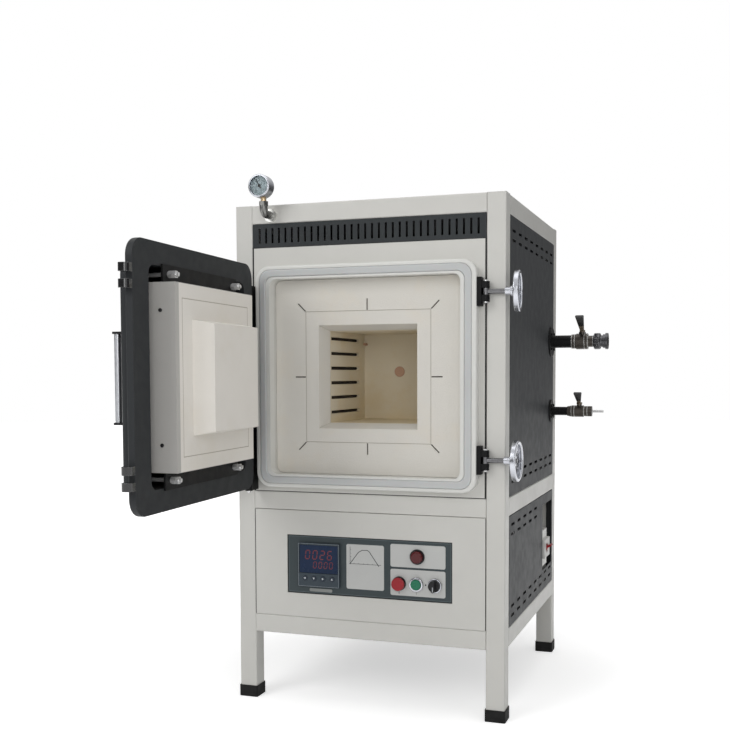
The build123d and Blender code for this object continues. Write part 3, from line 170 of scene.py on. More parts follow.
def math_node(tree, operation, *values, clamp=False):
    """A Math node's result, from sockets or numbers."""
    return add(tree, "ShaderNodeMath", dict(enumerate(values)), operation=operation, use_clamp=clamp).outputs[0]


def vector_math(tree, operation, *values):
    node = add(tree, "ShaderNodeVectorMath", dict(enumerate(values)), operation=operation)
    return node.outputs["Value" if operation in ("DOT_PRODUCT", "LENGTH") else "Vector"]


def split(tree, vector):
    """A vector's X, Y and Z as sockets."""
    return add(tree, "ShaderNodeSeparateXYZ", {0: vector}).outputs


def mix_colours(tree, share, first, second):
    """The first colour with a share of the second over it."""
    node = add(tree, "ShaderNodeMix", data_type="RGBA")
    for name, value in (("Factor", share), ("A", first), ("B", second)):
        feed(tree, [s for s in node.inputs if s.name == name and s.enabled][0], value)
    return [s for s in node.outputs if s.enabled][0]


def noise(tree, vector, scale, detail=3.0, roughness=0.5):
    inputs = {"Vector": vector, "Scale": scale, "Detail": detail, "Roughness": roughness}
    return add(tree, "ShaderNodeTexNoise", inputs).outputs["Fac"]


def remap(tree, value, low, high, to_low, to_high):
    inputs = {"Value": value, "From Min": low, "From Max": high, "To Min": to_low, "To Max": to_high}
    return add(tree, "ShaderNodeMapRange", inputs, interpolation_type="SMOOTHSTEP").outputs["Result"]


def new_group(name, kind, inputs, outputs):
    """A node group with its sockets, as (tree, given sockets, output node)."""
    tree = bpy.data.node_groups.new(name, kind + "NodeTree")
    for label, socket_kind, *value in inputs:
        socket = tree.interface.new_socket(label, in_out="INPUT", socket_type="NodeSocket" + socket_kind)
        if value:
            socket.default_value = value[0]
    for label, socket_kind in outputs:
        tree.interface.new_socket(label, in_out="OUTPUT", socket_type="NodeSocket" + socket_kind)
    return tree, tree.nodes.new("NodeGroupInput").outputs, tree.nodes.new("NodeGroupOutput")


# ---- shader groups ----

def build_mottle():
    """Slow drift of tone and gloss over a surface."""
    tree, given, result = new_group(
        "Mottle", "Shader",
        [("Vector", "Vector"), ("Colour", "Color", (1, 1, 1, 1)), ("Shade", "Color", (0, 0, 0, 1)),
         ("Scale", "Float", 6.0), ("Gloss low", "Float", 0.4), ("Gloss high", "Float", 0.5)],
        [("Colour", "Color"), ("Roughness", "Float")])
    share = remap(tree, noise(tree, given["Vector"], given["Scale"], 4.0, 0.6), 0.35, 0.7, 0.0, 1.0)
    fine = noise(tree, given["Vector"], math_node(tree, "MULTIPLY", given["Scale"], 7.0))
    feed_all(tree, result, {
        "Colour": mix_colours(tree, share, given["Colour"], given["Shade"]),
        "Roughness": remap(tree, fine, 0.3, 0.7, given["Gloss low"], given["Gloss high"])})
    return tree


def build_relief():
    """Fine height texture, stretched by a vector for drawn or brushed surfaces."""
    tree, given, result = new_group(
        "Relief", "Shader",
        [("Vector", "Vector"), ("Stretch", "Vector", (1, 1, 1)), ("Scale", "Float", 400.0),
         ("Coarse share", "Float", 0.4)],
        [("Height", "Float")])
    stretched = vector_math(tree, "MULTIPLY", given["Vector"], given["Stretch"])
    fine = noise(tree, stretched, given["Scale"], 4.0, 0.6)
    coarse = noise(tree, stretched, math_node(tree, "MULTIPLY", given["Scale"], 0.18), 2.0)
    feed_all(tree, result, {"Height": math_node(tree, "MULTIPLY_ADD", coarse, given["Coarse share"], fine)})
    return tree


def build_soft_edge():
    """Rounded normals along sharp edges, and a broken mask of where those edges are."""
    tree, given, result = new_group(
        "Soft edge", "Shader",
        [("Vector", "Vector"), ("Radius", "Float", 0.0008), ("Amount", "Float", 0.5)],
        [("Normal", "Vector"), ("Wear", "Float")])
    rounded_normal = add(tree, "ShaderNodeBevel", {"Radius": given["Radius"]}, samples=4).outputs["Normal"]
    flat_normal = add(tree, "ShaderNodeNewGeometry").outputs["Normal"]
    agreement = vector_math(tree, "DOT_PRODUCT", rounded_normal, flat_normal)
    edge = math_node(tree, "SUBTRACT", 1.0, agreement, clamp=True)
    edge = math_node(tree, "MULTIPLY", edge, 9.0, clamp=True)
    patch = remap(tree, noise(tree, given["Vector"], 45.0, 5.0, 0.7), 0.35, 0.65, 0.0, 1.0)
    worn = math_node(tree, "MULTIPLY", edge, patch)
    feed_all(tree, result, {
        "Normal": rounded_normal, "Wear": math_node(tree, "MULTIPLY", worn, given["Amount"], clamp=True)})
    return tree


def build_dust():
    """Thin dust on faces that look up."""
    tree, given, result = new_group(
        "Dust", "Shader", [("Vector", "Vector"), ("Amount", "Float", 0.2)], [("Mask", "Float")])
    normal = add(tree, "ShaderNodeNewGeometry").outputs["Normal"]
    up = remap(tree, split(tree, normal)["Z"], 0.55, 0.95, 0.0, 1.0)
    specks = remap(tree, noise(tree, given["Vector"], 60.0, 6.0, 0.75), 0.3, 0.75, 0.25, 1.0)
    thin = math_node(tree, "MULTIPLY", up, specks)
    feed_all(tree, result, {"Mask": math_node(tree, "MULTIPLY", thin, given["Amount"], clamp=True)})
    return tree


def build_outline():
    """A thin rectangle line in the X-Z plane, as a mask."""
    tree, given, result = new_group(
        "Seam line", "Shader",
        [("Vector", "Vector"), ("Centre", "Vector", (0, 0, 0)), ("Half", "Vector", (0.1, 0, 0.1)),
         ("Width", "Float", 0.0006)],
        [("Mask", "Float")])
    offset = vector_math(tree, "SUBTRACT", given["Vector"], given["Centre"])
    beyond = vector_math(tree, "SUBTRACT", vector_math(tree, "ABSOLUTE", offset), given["Half"])
    far = math_node(tree, "MAXIMUM", split(tree, beyond)["X"], split(tree, beyond)["Z"])
    near = math_node(tree, "ABSOLUTE", far)
    feed_all(tree, result, {"Mask": math_node(tree, "LESS_THAN", near, given["Width"])})
    return tree


def build_band():
    """A soft-edged slab between two levels along X, Y or Z, as a mask."""
    tree, given, result = new_group(
        "Band", "Shader",
        [("Vector", "Vector"), ("Axis", "Vector", (1, 0, 0)), ("Low", "Float", 0.0), ("High", "Float", 1.0),
         ("Blend", "Float", 0.0002)],
        [("Mask", "Float")])
    place = vector_math(tree, "DOT_PRODUCT", given["Vector"], given["Axis"])
    ramps = []
    for level, start, end in (("Low", 0.0, 1.0), ("High", 1.0, 0.0)):
        limits = [math_node(tree, way, given[level], given["Blend"]) for way in ("SUBTRACT", "ADD")]
        ramps.append(remap(tree, place, *limits, start, end))
    feed_all(tree, result, {"Mask": math_node(tree, "MULTIPLY", *ramps)})
    return tree


GROUP_BUILDERS = {
    "Mottle": build_mottle, "Relief": build_relief, "Soft edge": build_soft_edge,
    "Dust": build_dust, "Seam line": build_outline, "Band": build_band,
}


def place_group(tree, name, place, values):
    """The outputs of a group node that works at a place."""
    group = bpy.data.node_groups.get(name) or GROUP_BUILDERS[name]()
    return add(tree, "ShaderNodeGroup", {"Vector": place, **values}, node_tree=group).outputs


# ---- masks: functions that give a mask socket at a place ----

def seam(centre, half, width):
    """A thin rectangle line."""
    def mask(tree, place):
        return place_group(tree, "Seam line", place, {"Centre": centre, "Half": half, "Width": width})["Mask"]
    return mask


def band(axis, low, high, blend=0.0002, share=1.0):
    """A slab between two levels."""
    def mask(tree, place):
        values = {"Axis": axis, "Low": low, "High": high, "Blend": blend}
        return math_node(tree, "MULTIPLY", place_group(tree, "Band", place, values)["Mask"], share)
    return mask


def stain(scale, low, high, share):
    """Loose patches of another tone."""
    def mask(tree, place):
        return remap(tree, noise(tree, place, scale, 5.0, 0.65), low, high, 0.0, share)
    return mask


def on_shut_door(mask):
    """A mask laid out on the shut door, for a piece that is modelled open."""
    def opened(tree, place):
        shift = HINGE - Matrix.Rotation(DOOR_OPEN, 3, "Z") @ HINGE
        inputs = {"Vector": place, "Location": shift, "Rotation": (0, 0, DOOR_OPEN)}
        return mask(tree, add(tree, "ShaderNodeMapping", inputs).outputs[0])
    return opened


@on_shut_door
def plug_sides(tree, place):
    """The cut sides of the door plug, greyed as painted shade."""
    across = band(X, *PLUG_FACE)(tree, place)
    upward = band(Z, MOUTH_Z - PLUG_FACE_HALF, MOUTH_Z + PLUG_FACE_HALF)(tree, place)
    return math_node(tree, "SUBTRACT", 1.0, math_node(tree, "MULTIPLY", across, upward))


@on_shut_door
def pan_inside(tree, place):
    """Painted shade: the door pan's inner walls and floor, and the bars above them, darkened to near black."""
    mask = band(Y, PAN_FLOOR, PAN_MOUTH)(tree, place)
    for side in (band(X, *PAN_SIDES), band(Z, MOUTH_Z - PAN_HALF, MOUTH_Z + PAN_HALF)):
        mask = math_node(tree, "MULTIPLY", mask, side(tree, place))
    return math_node(tree, "MAXIMUM", mask, band(Y, PAN_MOUTH, FRONT)(tree, place))


# ---- finishes ----

# name: (colour from 0 to 255 or a setting's name, share of it in the darker patches, roughness range,
# relief's scale and height (None: the powder coat's), anything else)
FINISHES = {
    "Cream powder coat": ("cream", 0.965, (0.36, 0.46), (520, None), dict(
        wear=(0.1, (190, 186, 176)), dust=0.05)),
    "Charcoal powder coat": ("charcoal", 0.95, (0.5, 0.58), (620, 0.00002), dict(
        wear=(0.2, (80, 82, 82)), dust=0.05, specular=0.2)),
    # near black inside the door pan: painted shade
    "Door pan paint": ("charcoal", 0.95, (0.5, 0.58), (620, 0.00002), dict(
        wear=(0.2, (80, 82, 82)), dust=0.05, specular=0.2, marks=[(pan_inside, (16, 16, 17))])),
    "Vent charcoal coat": ((46, 50, 52), 0.9, (0.5, 0.6), (620, None), dict(
        wear=(0.3, (84, 86, 88)), dust=0.1, specular=0.25)),
    # near black on the decks inside the cabinet: painted shade for the unlit inside
    "Deck primer": ((34, 35, 37), 0.8, (0.5, 0.65), (300, 0.0001), dict(dust=0.3)),
    # the pale grey worn edges are partly bare metal, partly a painted highlight
    "Lug enamel": ((18, 18, 20), 0.8, (0.1, 0.2), (300, 0.00004), dict(
        edge=0.0014, coat=0.5, wear=(0.8, (150, 150, 150)))),
    "Black enamel": ((12, 12, 13), 0.8, (0.4, 0.5), (420, 0.00002), dict(
        wear=(0.3, (50, 49, 47)), dust=0.05, specular=0.15)),
    # near-black sheets in gaps and along the plate's edge: painted shadow
    "Joint black": ((14, 14, 15), 0.8, (0.7, 0.8), (300, 0.00004), dict(edge=0.0002)),
    # dark sheets in the expansion slits: painted shade
    "Slit shade": ((74, 70, 62), 0.8, (0.9, 0.95), (300, 0.0001), dict(edge=0.0002)),
    "Ring enamel": ((222, 222, 218), 0.98, (0.34, 0.4), (300, 0.000004), dict(edge=0.0005)),
    "Seal silicone": ((196, 198, 198), 0.96, (0.42, 0.5), (160, 0.00005), dict(edge=0.0006, subsurface=0.08)),
    "Pressed fibre board": ("ceramic", 0.975, (0.86, 0.95), (330, 0.0005), dict(
        edge=0.0016, wear=(0.35, (216, 208, 194)), marks=[
            (stain(7.0, 0.48, 0.72, 0.35), (226, 216, 198)),
            # darker line along the board joints: painted shade in the thin gaps
            (seam((0, 0, MOUTH_Z), (0.1401, 0, 0.1401), 0.0006), (180, 174, 163))])),
    "Fired muffle board": ((230, 222, 204), 0.97, (0.86, 0.95), (300, 0.0006), dict(edge=0.0016, marks=[
        (band(Y, FRONT + 0.10, FRONT + 0.60, 0.09, 0.45), (232, 220, 194)),
        (stain(9.0, 0.46, 0.74, 0.5), (222, 202, 160)),
        (band(Z, MOUTH_Z - 0.14, MOUTH_Z - 0.085, 0.02, 0.4), (226, 206, 160))])),
    "Door plug board": ((238, 234, 227), 0.975, (0.86, 0.95), (330, 0.0005), dict(
        edge=0.0016, wear=(0.3, (216, 208, 194)), marks=[
            (stain(6.0, 0.5, 0.75, 0.3), (228, 220, 204)),
            # darker line along the plug's board joints: painted shade
            (on_shut_door(seam((0, 0, MOUTH_Z), (0.1425, 0, 0.1405), 0.0007)), (176, 168, 154)),
            # greyer cut sides of the plug: painted shade
            (plug_sides, (190, 188, 184))])),
    "Fired ceramic": ((206, 166, 142), 0.85, (0.7, 0.85), (300, 0.0003), dict(edge=0.0008)),
    "Oxidised element": ((46, 40, 38), 0.6, (0.7, 0.85), (500, 0.0003), dict(metallic=0.3)),
    "Fibre wool": ((234, 230, 220), 0.9, (0.9, 1.0), (160, 0.0012), {}),
    "Zinc-plated steel": ((222, 222, 222), 0.9, (0.16, 0.26), (700, 0.00001), dict(
        metallic=0.6, scale=30, edge=0.0004, wear=(0.5, (240, 240, 240)))),
    "Drawn steel rod": ((112, 112, 114), 0.75, (0.25, 0.4), (700, 0.00004), dict(
        metallic=1.0, scale=30, edge=0.0003)),
    "Satin chrome": ((178, 180, 186), 0.94, (0.2, 0.27), (600, 0.000004), dict(metallic=1.0, scale=16)),
    "Grip aluminium": ((188, 190, 194), 0.9, (0.32, 0.42), (700, 0.00004), dict(
        metallic=1.0, scale=30, edge=0.0004, wear=(0.3, (214, 214, 216)))),
    # grey castings with machined bright rings
    "Cast valve metal": ((78, 73, 68), 0.65, (0.3, 0.48), (500, 0.00012), dict(
        metallic=0.75, scale=40, edge=0.0005, wear=(0.8, (176, 172, 164)), marks=[
            (band(X, *ring), (176, 176, 174)) for ring in (
                (0.3595, 0.3612), (0.3915, 0.3930), (0.4042, 0.4058), (0.3525, 0.3540), (0.3835, 0.3850))])),
    # dark on the vacuum port, lighter on the gas port below
    "Stainless fitting": ((84, 84, 86), 0.6, (0.14, 0.28), (600, 0.00001), dict(
        metallic=1.0, scale=40, wear=(0.8, (200, 200, 200)), marks=[(band(Z, 0.60, 0.70), (176, 176, 176))])),
    # black grips on brown hubs
    "Lever grip": ((22, 22, 23), 0.8, (0.3, 0.42), (500, 0.0001), dict(
        wear=(0.4, (70, 68, 66)), marks=[
            (band(Z, *hub, 0.0008), (120, 108, 92)) for hub in ((0.8185, 0.8335), (0.6395, 0.6500))])),
    "Black plastic": ((26, 26, 28), 0.85, (0.36, 0.48), (600, 0.00004), dict(edge=0.0005, specular=0.25)),
    "Black rubber": ((24, 24, 24), 0.7, (0.7, 0.85), (300, 0.0002), dict(
        edge=0.0015, wear=(0.4, (52, 51, 50)), dust=0.15, specular=0.25)),
    "Slate plate": ("slate", 0.92, (0.4, 0.5), (700, 0.00003), dict(specular=0.25, marks=[
        # pale line inside the plate's edge: painted highlight on its bevel
        (seam((PLATE_X, 0, PLATE_Z), (0.1828, 0, 0.0606), 0.0003), (104, 114, 116))])),
    "Controller case": ((58, 68, 76), 0.93, (0.36, 0.46), (800, 0.00003), dict(
        edge=0.0005, specular=0.25, marks=[
            (seam((CONTROLLER_X, 0, CONTROLLER_Z), (0.0464, 0, 0.0464), 0.0003), (150, 158, 164))])),
    "Key plastic": ((40, 50, 62), 0.92, (0.34, 0.42), (800, 0.00003), dict(edge=0.0004, specular=0.25)),
    "Card film": ((196, 197, 195), 0.97, (0.3, 0.4), (900, 0.00003), dict(edge=0.0002)),
    "Lamp lens": ((84, 14, 20), 0.7, (0.14, 0.22), (300, 0.00003), dict(specular=0.3)),
    "Display window": ((22, 42, 72), 0.75, (0.2, 0.3), (300, 0.00001), dict(edge=0.0004, specular=0.15)),
    # grey elbow, brass stem above it, bright ring where it meets the frame
    "Gauge fittings": ((118, 118, 116), 0.75, (0.25, 0.4), (500, 0.00006), dict(
        metallic=1.0, scale=40, edge=0.0005, marks=[
            (band(Z, 1.0838, 1.2), (206, 182, 146)),
            (band(Y, FRONT - 0.0042, FRONT + 0.001), (214, 214, 210))])),
    "Dial face": ((118, 128, 132), 0.95, (0.45, 0.55), (900, 0.00002), dict(edge=0.0002)),
    "Varnished iron": ((92, 60, 42), 0.6, (0.4, 0.55), (400, 0.0002), dict(
        metallic=0.4, scale=20, stretch=(1, 8, 1), dust=0.3)),
    "Heat sink": ((150, 152, 156), 0.8, (0.35, 0.5), (500, 0.00006), dict(metallic=0.9, dust=0.3)),
    "Breaker shell": ((232, 232, 228), 0.95, (0.4, 0.5), (500, 0.00006), dict(
        dust=0.1, marks=[(band(Z, 0.2655, 0.3105, 0.0002, 0.25), (150, 150, 150))])),
}
INKS = {"Dial ink": (24, 26, 28), "Card ink": (40, 44, 48), "White ink": (214, 218, 222),
        "Strip film": (148, 151, 149)}
for ink, ink_colour in INKS.items():
    FINISHES[ink] = (ink_colour, 0.9, (0.5, 0.6), (900, 0.00001), dict(edge=0.0001, specular=0.2))
BUTTONS = {"Red button": (160, 30, 40), "Green button": (22, 116, 84), "Red toggle": (150, 30, 34)}
for button, button_colour in BUTTONS.items():
    FINISHES[button] = (button_colour, 0.9, (0.24, 0.34), (500, 0.00002), dict(specular=0.3))


def darker(colour, share):
    return tuple(channel * share for channel in colour)


def new_material(name):
    """An empty Principled material, as (material, tree, shader, object coordinates)."""
    material = bpy.data.materials.new(name)
    material.use_nodes = True
    tree = material.node_tree
    place = add(tree, "ShaderNodeTexCoord").outputs["Object"]
    return material, tree, tree.nodes["Principled BSDF"], place


def build_finish(name, colour, shade, gloss, relief, metallic=0.0, scale=6.0, stretch=(1, 1, 1), edge=0.0008,
                 wear=None, dust=0.0, coat=0.0, specular=0.5, subsurface=0.0, marks=()):
    """A finish: drifting tone and gloss, fine relief, soft worn edges, dust, and masked marks."""
    material, tree, shader, place = new_material(name)
    mottle = place_group(tree, "Mottle", place, {
        "Colour": colour, "Shade": darker(colour, shade), "Scale": scale,
        "Gloss low": gloss[0], "Gloss high": gloss[1]})
    base, rough = mottle["Colour"], mottle["Roughness"]
    for build_mask, mark_colour in marks:
        base = mix_colours(tree, build_mask(tree, place), base, tone(*mark_colour))
    amount, worn_colour = wear or (0.0, None)
    soft = place_group(tree, "Soft edge", place, {"Radius": edge, "Amount": amount})
    if wear:
        base = mix_colours(tree, soft["Wear"], base, tone(*worn_colour))
    if dust:
        mask = place_group(tree, "Dust", place, {"Amount": dust})["Mask"]
        base = mix_colours(tree, mask, base, tone(176, 170, 158))
        rough = math_node(tree, "MULTIPLY_ADD", mask, 0.4, rough, clamp=True)
    height = place_group(tree, "Relief", place, {"Stretch": stretch, "Scale": relief[0]})["Height"]
    bump = add(tree, "ShaderNodeBump", {"Distance": relief[1], "Height": height, "Normal": soft["Normal"]})
    feed_all(tree, shader, {
        "Base Color": base, "Roughness": rough, "Normal": bump.outputs["Normal"], "Metallic": metallic,
        "Coat Weight": coat, "Specular IOR Level": specular, "Subsurface Weight": subsurface})
    if subsurface:
        shader.inputs["Subsurface Scale"].default_value = 0.004
    return material


def finish(name):
    """The finish of that name, made when it is first asked for."""
    if name in bpy.data.materials:
        return bpy.data.materials[name]
    colour, shade, gloss, (scale, height), others = FINISHES[name]
    colour = tuple(getattr(colours(), colour)) if isinstance(colour, str) else tone(*colour)
    relief = (scale, sizes().peel if height is None else height)
    return build_finish(name, colour, shade, gloss, relief, **{"edge": sizes().soft_edge, **others})


def clear_glass():
    """Plain glass over the gauge."""
    name = "Gauge glass"
    if name in bpy.data.materials:
        return bpy.data.materials[name]
    material, tree, shader, place = new_material(name)
    mottle = place_group(tree, "Mottle", place, {
        "Colour": (0.95, 0.97, 0.97), "Shade": (0.92, 0.95, 0.95), "Scale": 30.0,
        "Gloss low": 0.01, "Gloss high": 0.04})
    feed_all(tree, shader, {
        "Base Color": mottle["Colour"], "Roughness": mottle["Roughness"],
        "Transmission Weight": 1.0, "IOR": 1.05})
    return material


def glow(name, colour, strength):
    """Lit digits: a dark base with a plain glow."""
    if name in bpy.data.materials:
        return bpy.data.materials[name]
    material = build_finish(name, darker(colour, 0.4), 0.9, (0.3, 0.4), (900, 0.00001), edge=0.0001)
    tree = material.node_tree
    feed_all(tree, tree.nodes["Principled BSDF"], {"Emission Color": colour, "Emission Strength": strength})
    return material


def dress(material, *names):
    """Put one finish on every material slot of some CAD nodes."""
    for name in names:
        node = NODES[name]
        if not node.material_slots:
            node.data.materials.append(material)
        for slot in node.material_slots:
            slot.material = material


# ---- meshes ----

def piece(name, mesh, material, body):
    """A finished piece: its object at the origin, riding on a body, with its finish and slot."""
    mesh.materials.clear()
    mesh.materials.append(material)
    obj = bpy.data.objects.new(name, mesh)
    bpy.context.scene.collection.objects.link(obj)
    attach(obj, body)
    return obj


def from_bmesh(name, shape):
    bmesh.ops.remove_doubles(shape, verts=shape.verts, dist=1e-6)
    bmesh.ops.recalc_face_normals(shape, faces=shape.faces)
    mesh = bpy.data.meshes.new(name)
    shape.to_mesh(mesh)
    shape.free()
    return mesh


def front_place(x, y, z):
    """A place on the front: drawn x goes right, drawn y goes up, thickness comes forward."""
    return Matrix.Translation((x, y, z)) @ Matrix.Rotation(math.radians(90), 4, "X")


def rounded(width, height, radius, steps=6):
    """A rounded rectangle's points, counter-clockwise."""
    points = []
    for corner in range(4):
        middle = math.pi / 2 * corner
        cx = (width / 2 - radius) * (1 if corner in (0, 3) else -1)
        cy = (height / 2 - radius) * (1 if corner in (0, 1) else -1)
        for step in range(steps + 1):
            angle = middle + math.pi / 2 * step / steps
            points.append((cx + radius * math.cos(angle), cy + radius * math.sin(angle)))
    return points


def circle(x, y, radius, steps=48):
    return [(x + radius * math.cos(math.tau * i / steps), y + radius * math.sin(math.tau * i / steps))
            for i in range(steps)]


def middle_of(node):
    """The X and Z of a node's middle."""
    low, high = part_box(node)
    return (low.x + high.x) / 2, (low.z + high.z) / 2


def curve_mesh(curve, thickness, place):
    """A filled curve as a closed plate that stands on a place."""
    curve.extrude = thickness / 2
    holder = bpy.data.objects.new(curve.name, curve)
    mesh = bpy.data.meshes.new_from_object(holder)
    bpy.data.objects.remove(holder)
    bpy.data.curves.remove(curve)
    mesh.transform(place @ Matrix.Translation((0, 0, thickness / 2)))
    return mesh


def flat_mesh(name, outlines, thickness, place):
    """A flat plate from closed outlines, the inner ones cutting holes, as one closed mesh."""
    curve = bpy.data.curves.new(name, "CURVE")
    curve.dimensions = "2D"
    curve.fill_mode = "BOTH"
    for outline in outlines:
        spline = curve.splines.new("POLY")
        spline.points.add(len(outline) - 1)
        for point, (x, y) in zip(spline.points, outline):
            point.co = (x, y, 0, 1)
        spline.use_cyclic_u = True
    return curve_mesh(curve, thickness, place)


def text_mesh(words, size, thickness, place):
    """Plain raised figures."""
    curve = bpy.data.curves.new("figure", "FONT")
    curve.body = words
    curve.size = size
    curve.align_x = "CENTER"
    curve.align_y = "CENTER"
    curve.resolution_u = 3
    return curve_mesh(curve, thickness, place)


def stroke(points, width):
    """A closed outline around an open line of the given width."""
    left, right = [], []
    for i, (x, y) in enumerate(points):
        ax, ay = points[max(i - 1, 0)]
        bx, by = points[min(i + 1, len(points) - 1)]
        length = math.hypot(bx - ax, by - ay)
        nx, ny = -(by - ay) / length * width / 2, (bx - ax) / length * width / 2
        left.append((x + nx, y + ny))
        right.append((x - nx, y - ny))
    return right + left[::-1]


def joined(name, meshes):
    """One mesh from several."""
    shape = bmesh.new()
    for mesh in meshes:
        shape.from_mesh(mesh)
        bpy.data.meshes.remove(mesh)
    result = bpy.data.meshes.new(name)
    shape.to_mesh(result)
    shape.free()
    return result


# ---- geometry node trees ----

def new_tree(name, inputs):
    """A Geometry Nodes tree that takes a mesh, named sizes and a material."""
    inputs = [("Geometry", "Geometry"), *inputs, ("Material", "Material")]
    return new_group(name, "Geometry", inputs, [("Geometry", "Geometry")])


def finish_tree(tree, given, result, socket):
    realized = add(tree, "GeometryNodeRealizeInstances", {"Geometry": socket}).outputs["Geometry"]
    painted = add(tree, "GeometryNodeSetMaterial", {"Geometry": realized, "Material": given["Material"]})
    feed_all(tree, result, {"Geometry": painted.outputs["Geometry"]})
    return tree


def fasteners_tree():
    """One fastener on each point, turned to the point's own facing."""
    tree, given, result = new_tree("Fasteners on points", [("Fastener", "Object"), ("Scale", "Float")])
    facing = add(tree, "GeometryNodeInputNamedAttribute", {"Name": "facing"}, data_type="FLOAT_VECTOR")
    aim = add(tree, "FunctionNodeAlignRotationToVector", {"Vector": facing.outputs["Attribute"]}, axis="Z")
    shape = add(tree, "GeometryNodeObjectInfo", {"Object": given["Fastener"]}).outputs["Geometry"]
    spread = add(tree, "GeometryNodeInstanceOnPoints", {
        "Points": given["Geometry"], "Instance": shape, "Rotation": aim.outputs["Rotation"],
        "Scale": given["Scale"]})
    return finish_tree(tree, given, result, spread.outputs["Instances"])


def thread_tree():
    """A screw thread: a helix of the given pitch with a small round crest."""
    tree, given, result = new_tree("Screw thread", [
        ("Radius", "Float"), ("Pitch", "Float"), ("Length", "Float"), ("Crest", "Float")])
    spiral = add(tree, "GeometryNodeCurveSpiral", {
        "Resolution": 24, "Rotations": math_node(tree, "DIVIDE", given["Length"], given["Pitch"]),
        "Start Radius": given["Radius"], "End Radius": given["Radius"], "Height": given["Length"]})
    profile = add(tree, "GeometryNodeCurvePrimitiveCircle", {"Resolution": 6, "Radius": given["Crest"]})
    body = add(tree, "GeometryNodeCurveToMesh", {
        "Curve": spiral.outputs["Curve"], "Profile Curve": profile.outputs["Curve"], "Fill Caps": True})
    return finish_tree(tree, given, result, body.outputs["Mesh"])


def ticks_tree():
    """Graduations around an open arc, every fifth one longer."""
    tree, given, result = new_tree("Dial ticks", [
        ("Count", "Int"), ("Radius", "Float"), ("Length", "Float"), ("Width", "Float")])
    arc = add(tree, "GeometryNodeCurveArc", {
        "Start Angle": math.radians(-45), "Sweep Angle": math.radians(270),
        "Resolution": given["Count"], "Radius": given["Radius"]})
    points = add(tree, "GeometryNodeCurveToPoints", {"Curve": arc.outputs["Curve"]}, mode="EVALUATED")
    index = add(tree, "GeometryNodeInputIndex").outputs[0]
    is_fifth = math_node(tree, "LESS_THAN", math_node(tree, "MODULO", index, 5), 0.5)
    reach = math_node(tree, "MULTIPLY_ADD", is_fifth, 0.9, 1.0)
    stretch = add(tree, "ShaderNodeCombineXYZ", {"X": reach, "Y": 1, "Z": 1}).outputs[0]
    size = add(tree, "ShaderNodeCombineXYZ", {"X": given["Length"], "Y": given["Width"], "Z": 0.00012})
    mark = add(tree, "GeometryNodeMeshCube", {"Size": size.outputs[0]}).outputs["Mesh"]
    place = add(tree, "GeometryNodeInputPosition").outputs[0]
    outward = add(tree, "FunctionNodeAlignRotationToVector", {"Vector": place}, axis="X", pivot_axis="Z")
    spread = add(tree, "GeometryNodeInstanceOnPoints", {
        "Points": points.outputs["Points"], "Instance": mark, "Rotation": outward.outputs["Rotation"],
        "Scale": stretch})
    return finish_tree(tree, given, result, spread.outputs["Instances"])


TREE_BUILDERS = {"Fasteners on points": fasteners_tree, "Screw thread": thread_tree, "Dial ticks": ticks_tree}


def grow(name, tree_name, values, start=None):
    """Run a Geometry Nodes tree on a start mesh and give its result as a plain mesh."""
    tree = bpy.data.node_groups.get(tree_name) or TREE_BUILDERS[tree_name]()
    holder = bpy.data.objects.new(name, start or bpy.data.meshes.new(name))
    bpy.context.scene.collection.objects.link(holder)
    modifier = holder.modifiers.new(tree_name, "NODES")
    modifier.node_group = tree
    sockets = {item.name: item.identifier for item in tree.interface.items_tree if item.in_out == "INPUT"}
    for label, value in values.items():
        modifier[sockets[label]] = value
    graph = bpy.context.evaluated_depsgraph_get()
    mesh = bpy.data.meshes.new_from_object(holder.evaluated_get(graph))
    bpy.data.objects.remove(holder)
    if not mesh.polygons:
        raise RuntimeError(f"{name}: the tree {tree_name} gave no faces")
    return mesh


def lathe(profile, steps=32):
    """A turned shape about Z from (radius, height) points, closed at both ends."""
    shape = bmesh.new()
    rings = []
    for radius, height in profile:
        if radius < 1e-7:
            rings.append([shape.verts.new((0, 0, height))])
            continue
        rings.append([shape.verts.new((x, y, height)) for x, y in circle(0, 0, radius, steps)])
    for low, high in zip(rings, rings[1:]):
        for i in range(steps):
            corners = [ring[j % len(ring)] for ring, j in ((low, i), (low, i + 1), (high, i + 1), (high, i))]
            corners = list(dict.fromkeys(corners))
            if len(corners) > 2:
                shape.faces.new(corners)
    return shape


def smooth_by_angle(mesh, degrees=35):
    """Smooth faces, with sharp edges kept where they turn more than the angle."""
    shape = bmesh.new()
    shape.from_mesh(mesh)
    for face in shape.faces:
        face.smooth = True
    for edge in shape.edges:
        edge.smooth = len(edge.link_faces) == 2 and edge.calc_face_angle(0) < math.radians(degrees)
    shape.to_mesh(mesh)
    shape.free()
    return mesh


def pan_screw():
    """A pan-head screw of unit radius with a cross recess."""
    shape = lathe([(0, 0.0), (1, 0.0), (1, 0.12), (0.93, 0.34), (0.75, 0.5), (0.52, 0.58), (0.0, 0.6)], 20)
    mesh = smooth_by_angle(from_bmesh("pan_screw", shape), 50)
    head = bpy.data.objects.new("pan_screw", mesh)
    bpy.context.scene.collection.objects.link(head)
    cutter_shape = bmesh.new()
    for turn in (0, 90):
        matrix = Matrix.Rotation(math.radians(turn), 4, "Z") @ Matrix.Translation((0, 0, 0.6))
        bmesh.ops.create_cube(cutter_shape, size=1, matrix=matrix @ Matrix.Diagonal((0.9, 0.2, 0.7, 1)))
    cutter = bpy.data.objects.new("recess", from_bmesh("recess", cutter_shape))
    bpy.context.scene.collection.objects.link(cutter)
    cut = head.modifiers.new("Recess", "BOOLEAN")
    cut.operation = "DIFFERENCE"
    cut.object = cutter
    cut.use_self = True
    graph = bpy.context.evaluated_depsgraph_get()
    result = bpy.data.meshes.new_from_object(head.evaluated_get(graph))
    for extra in (head, cutter):
        bpy.data.objects.remove(extra)
    return result


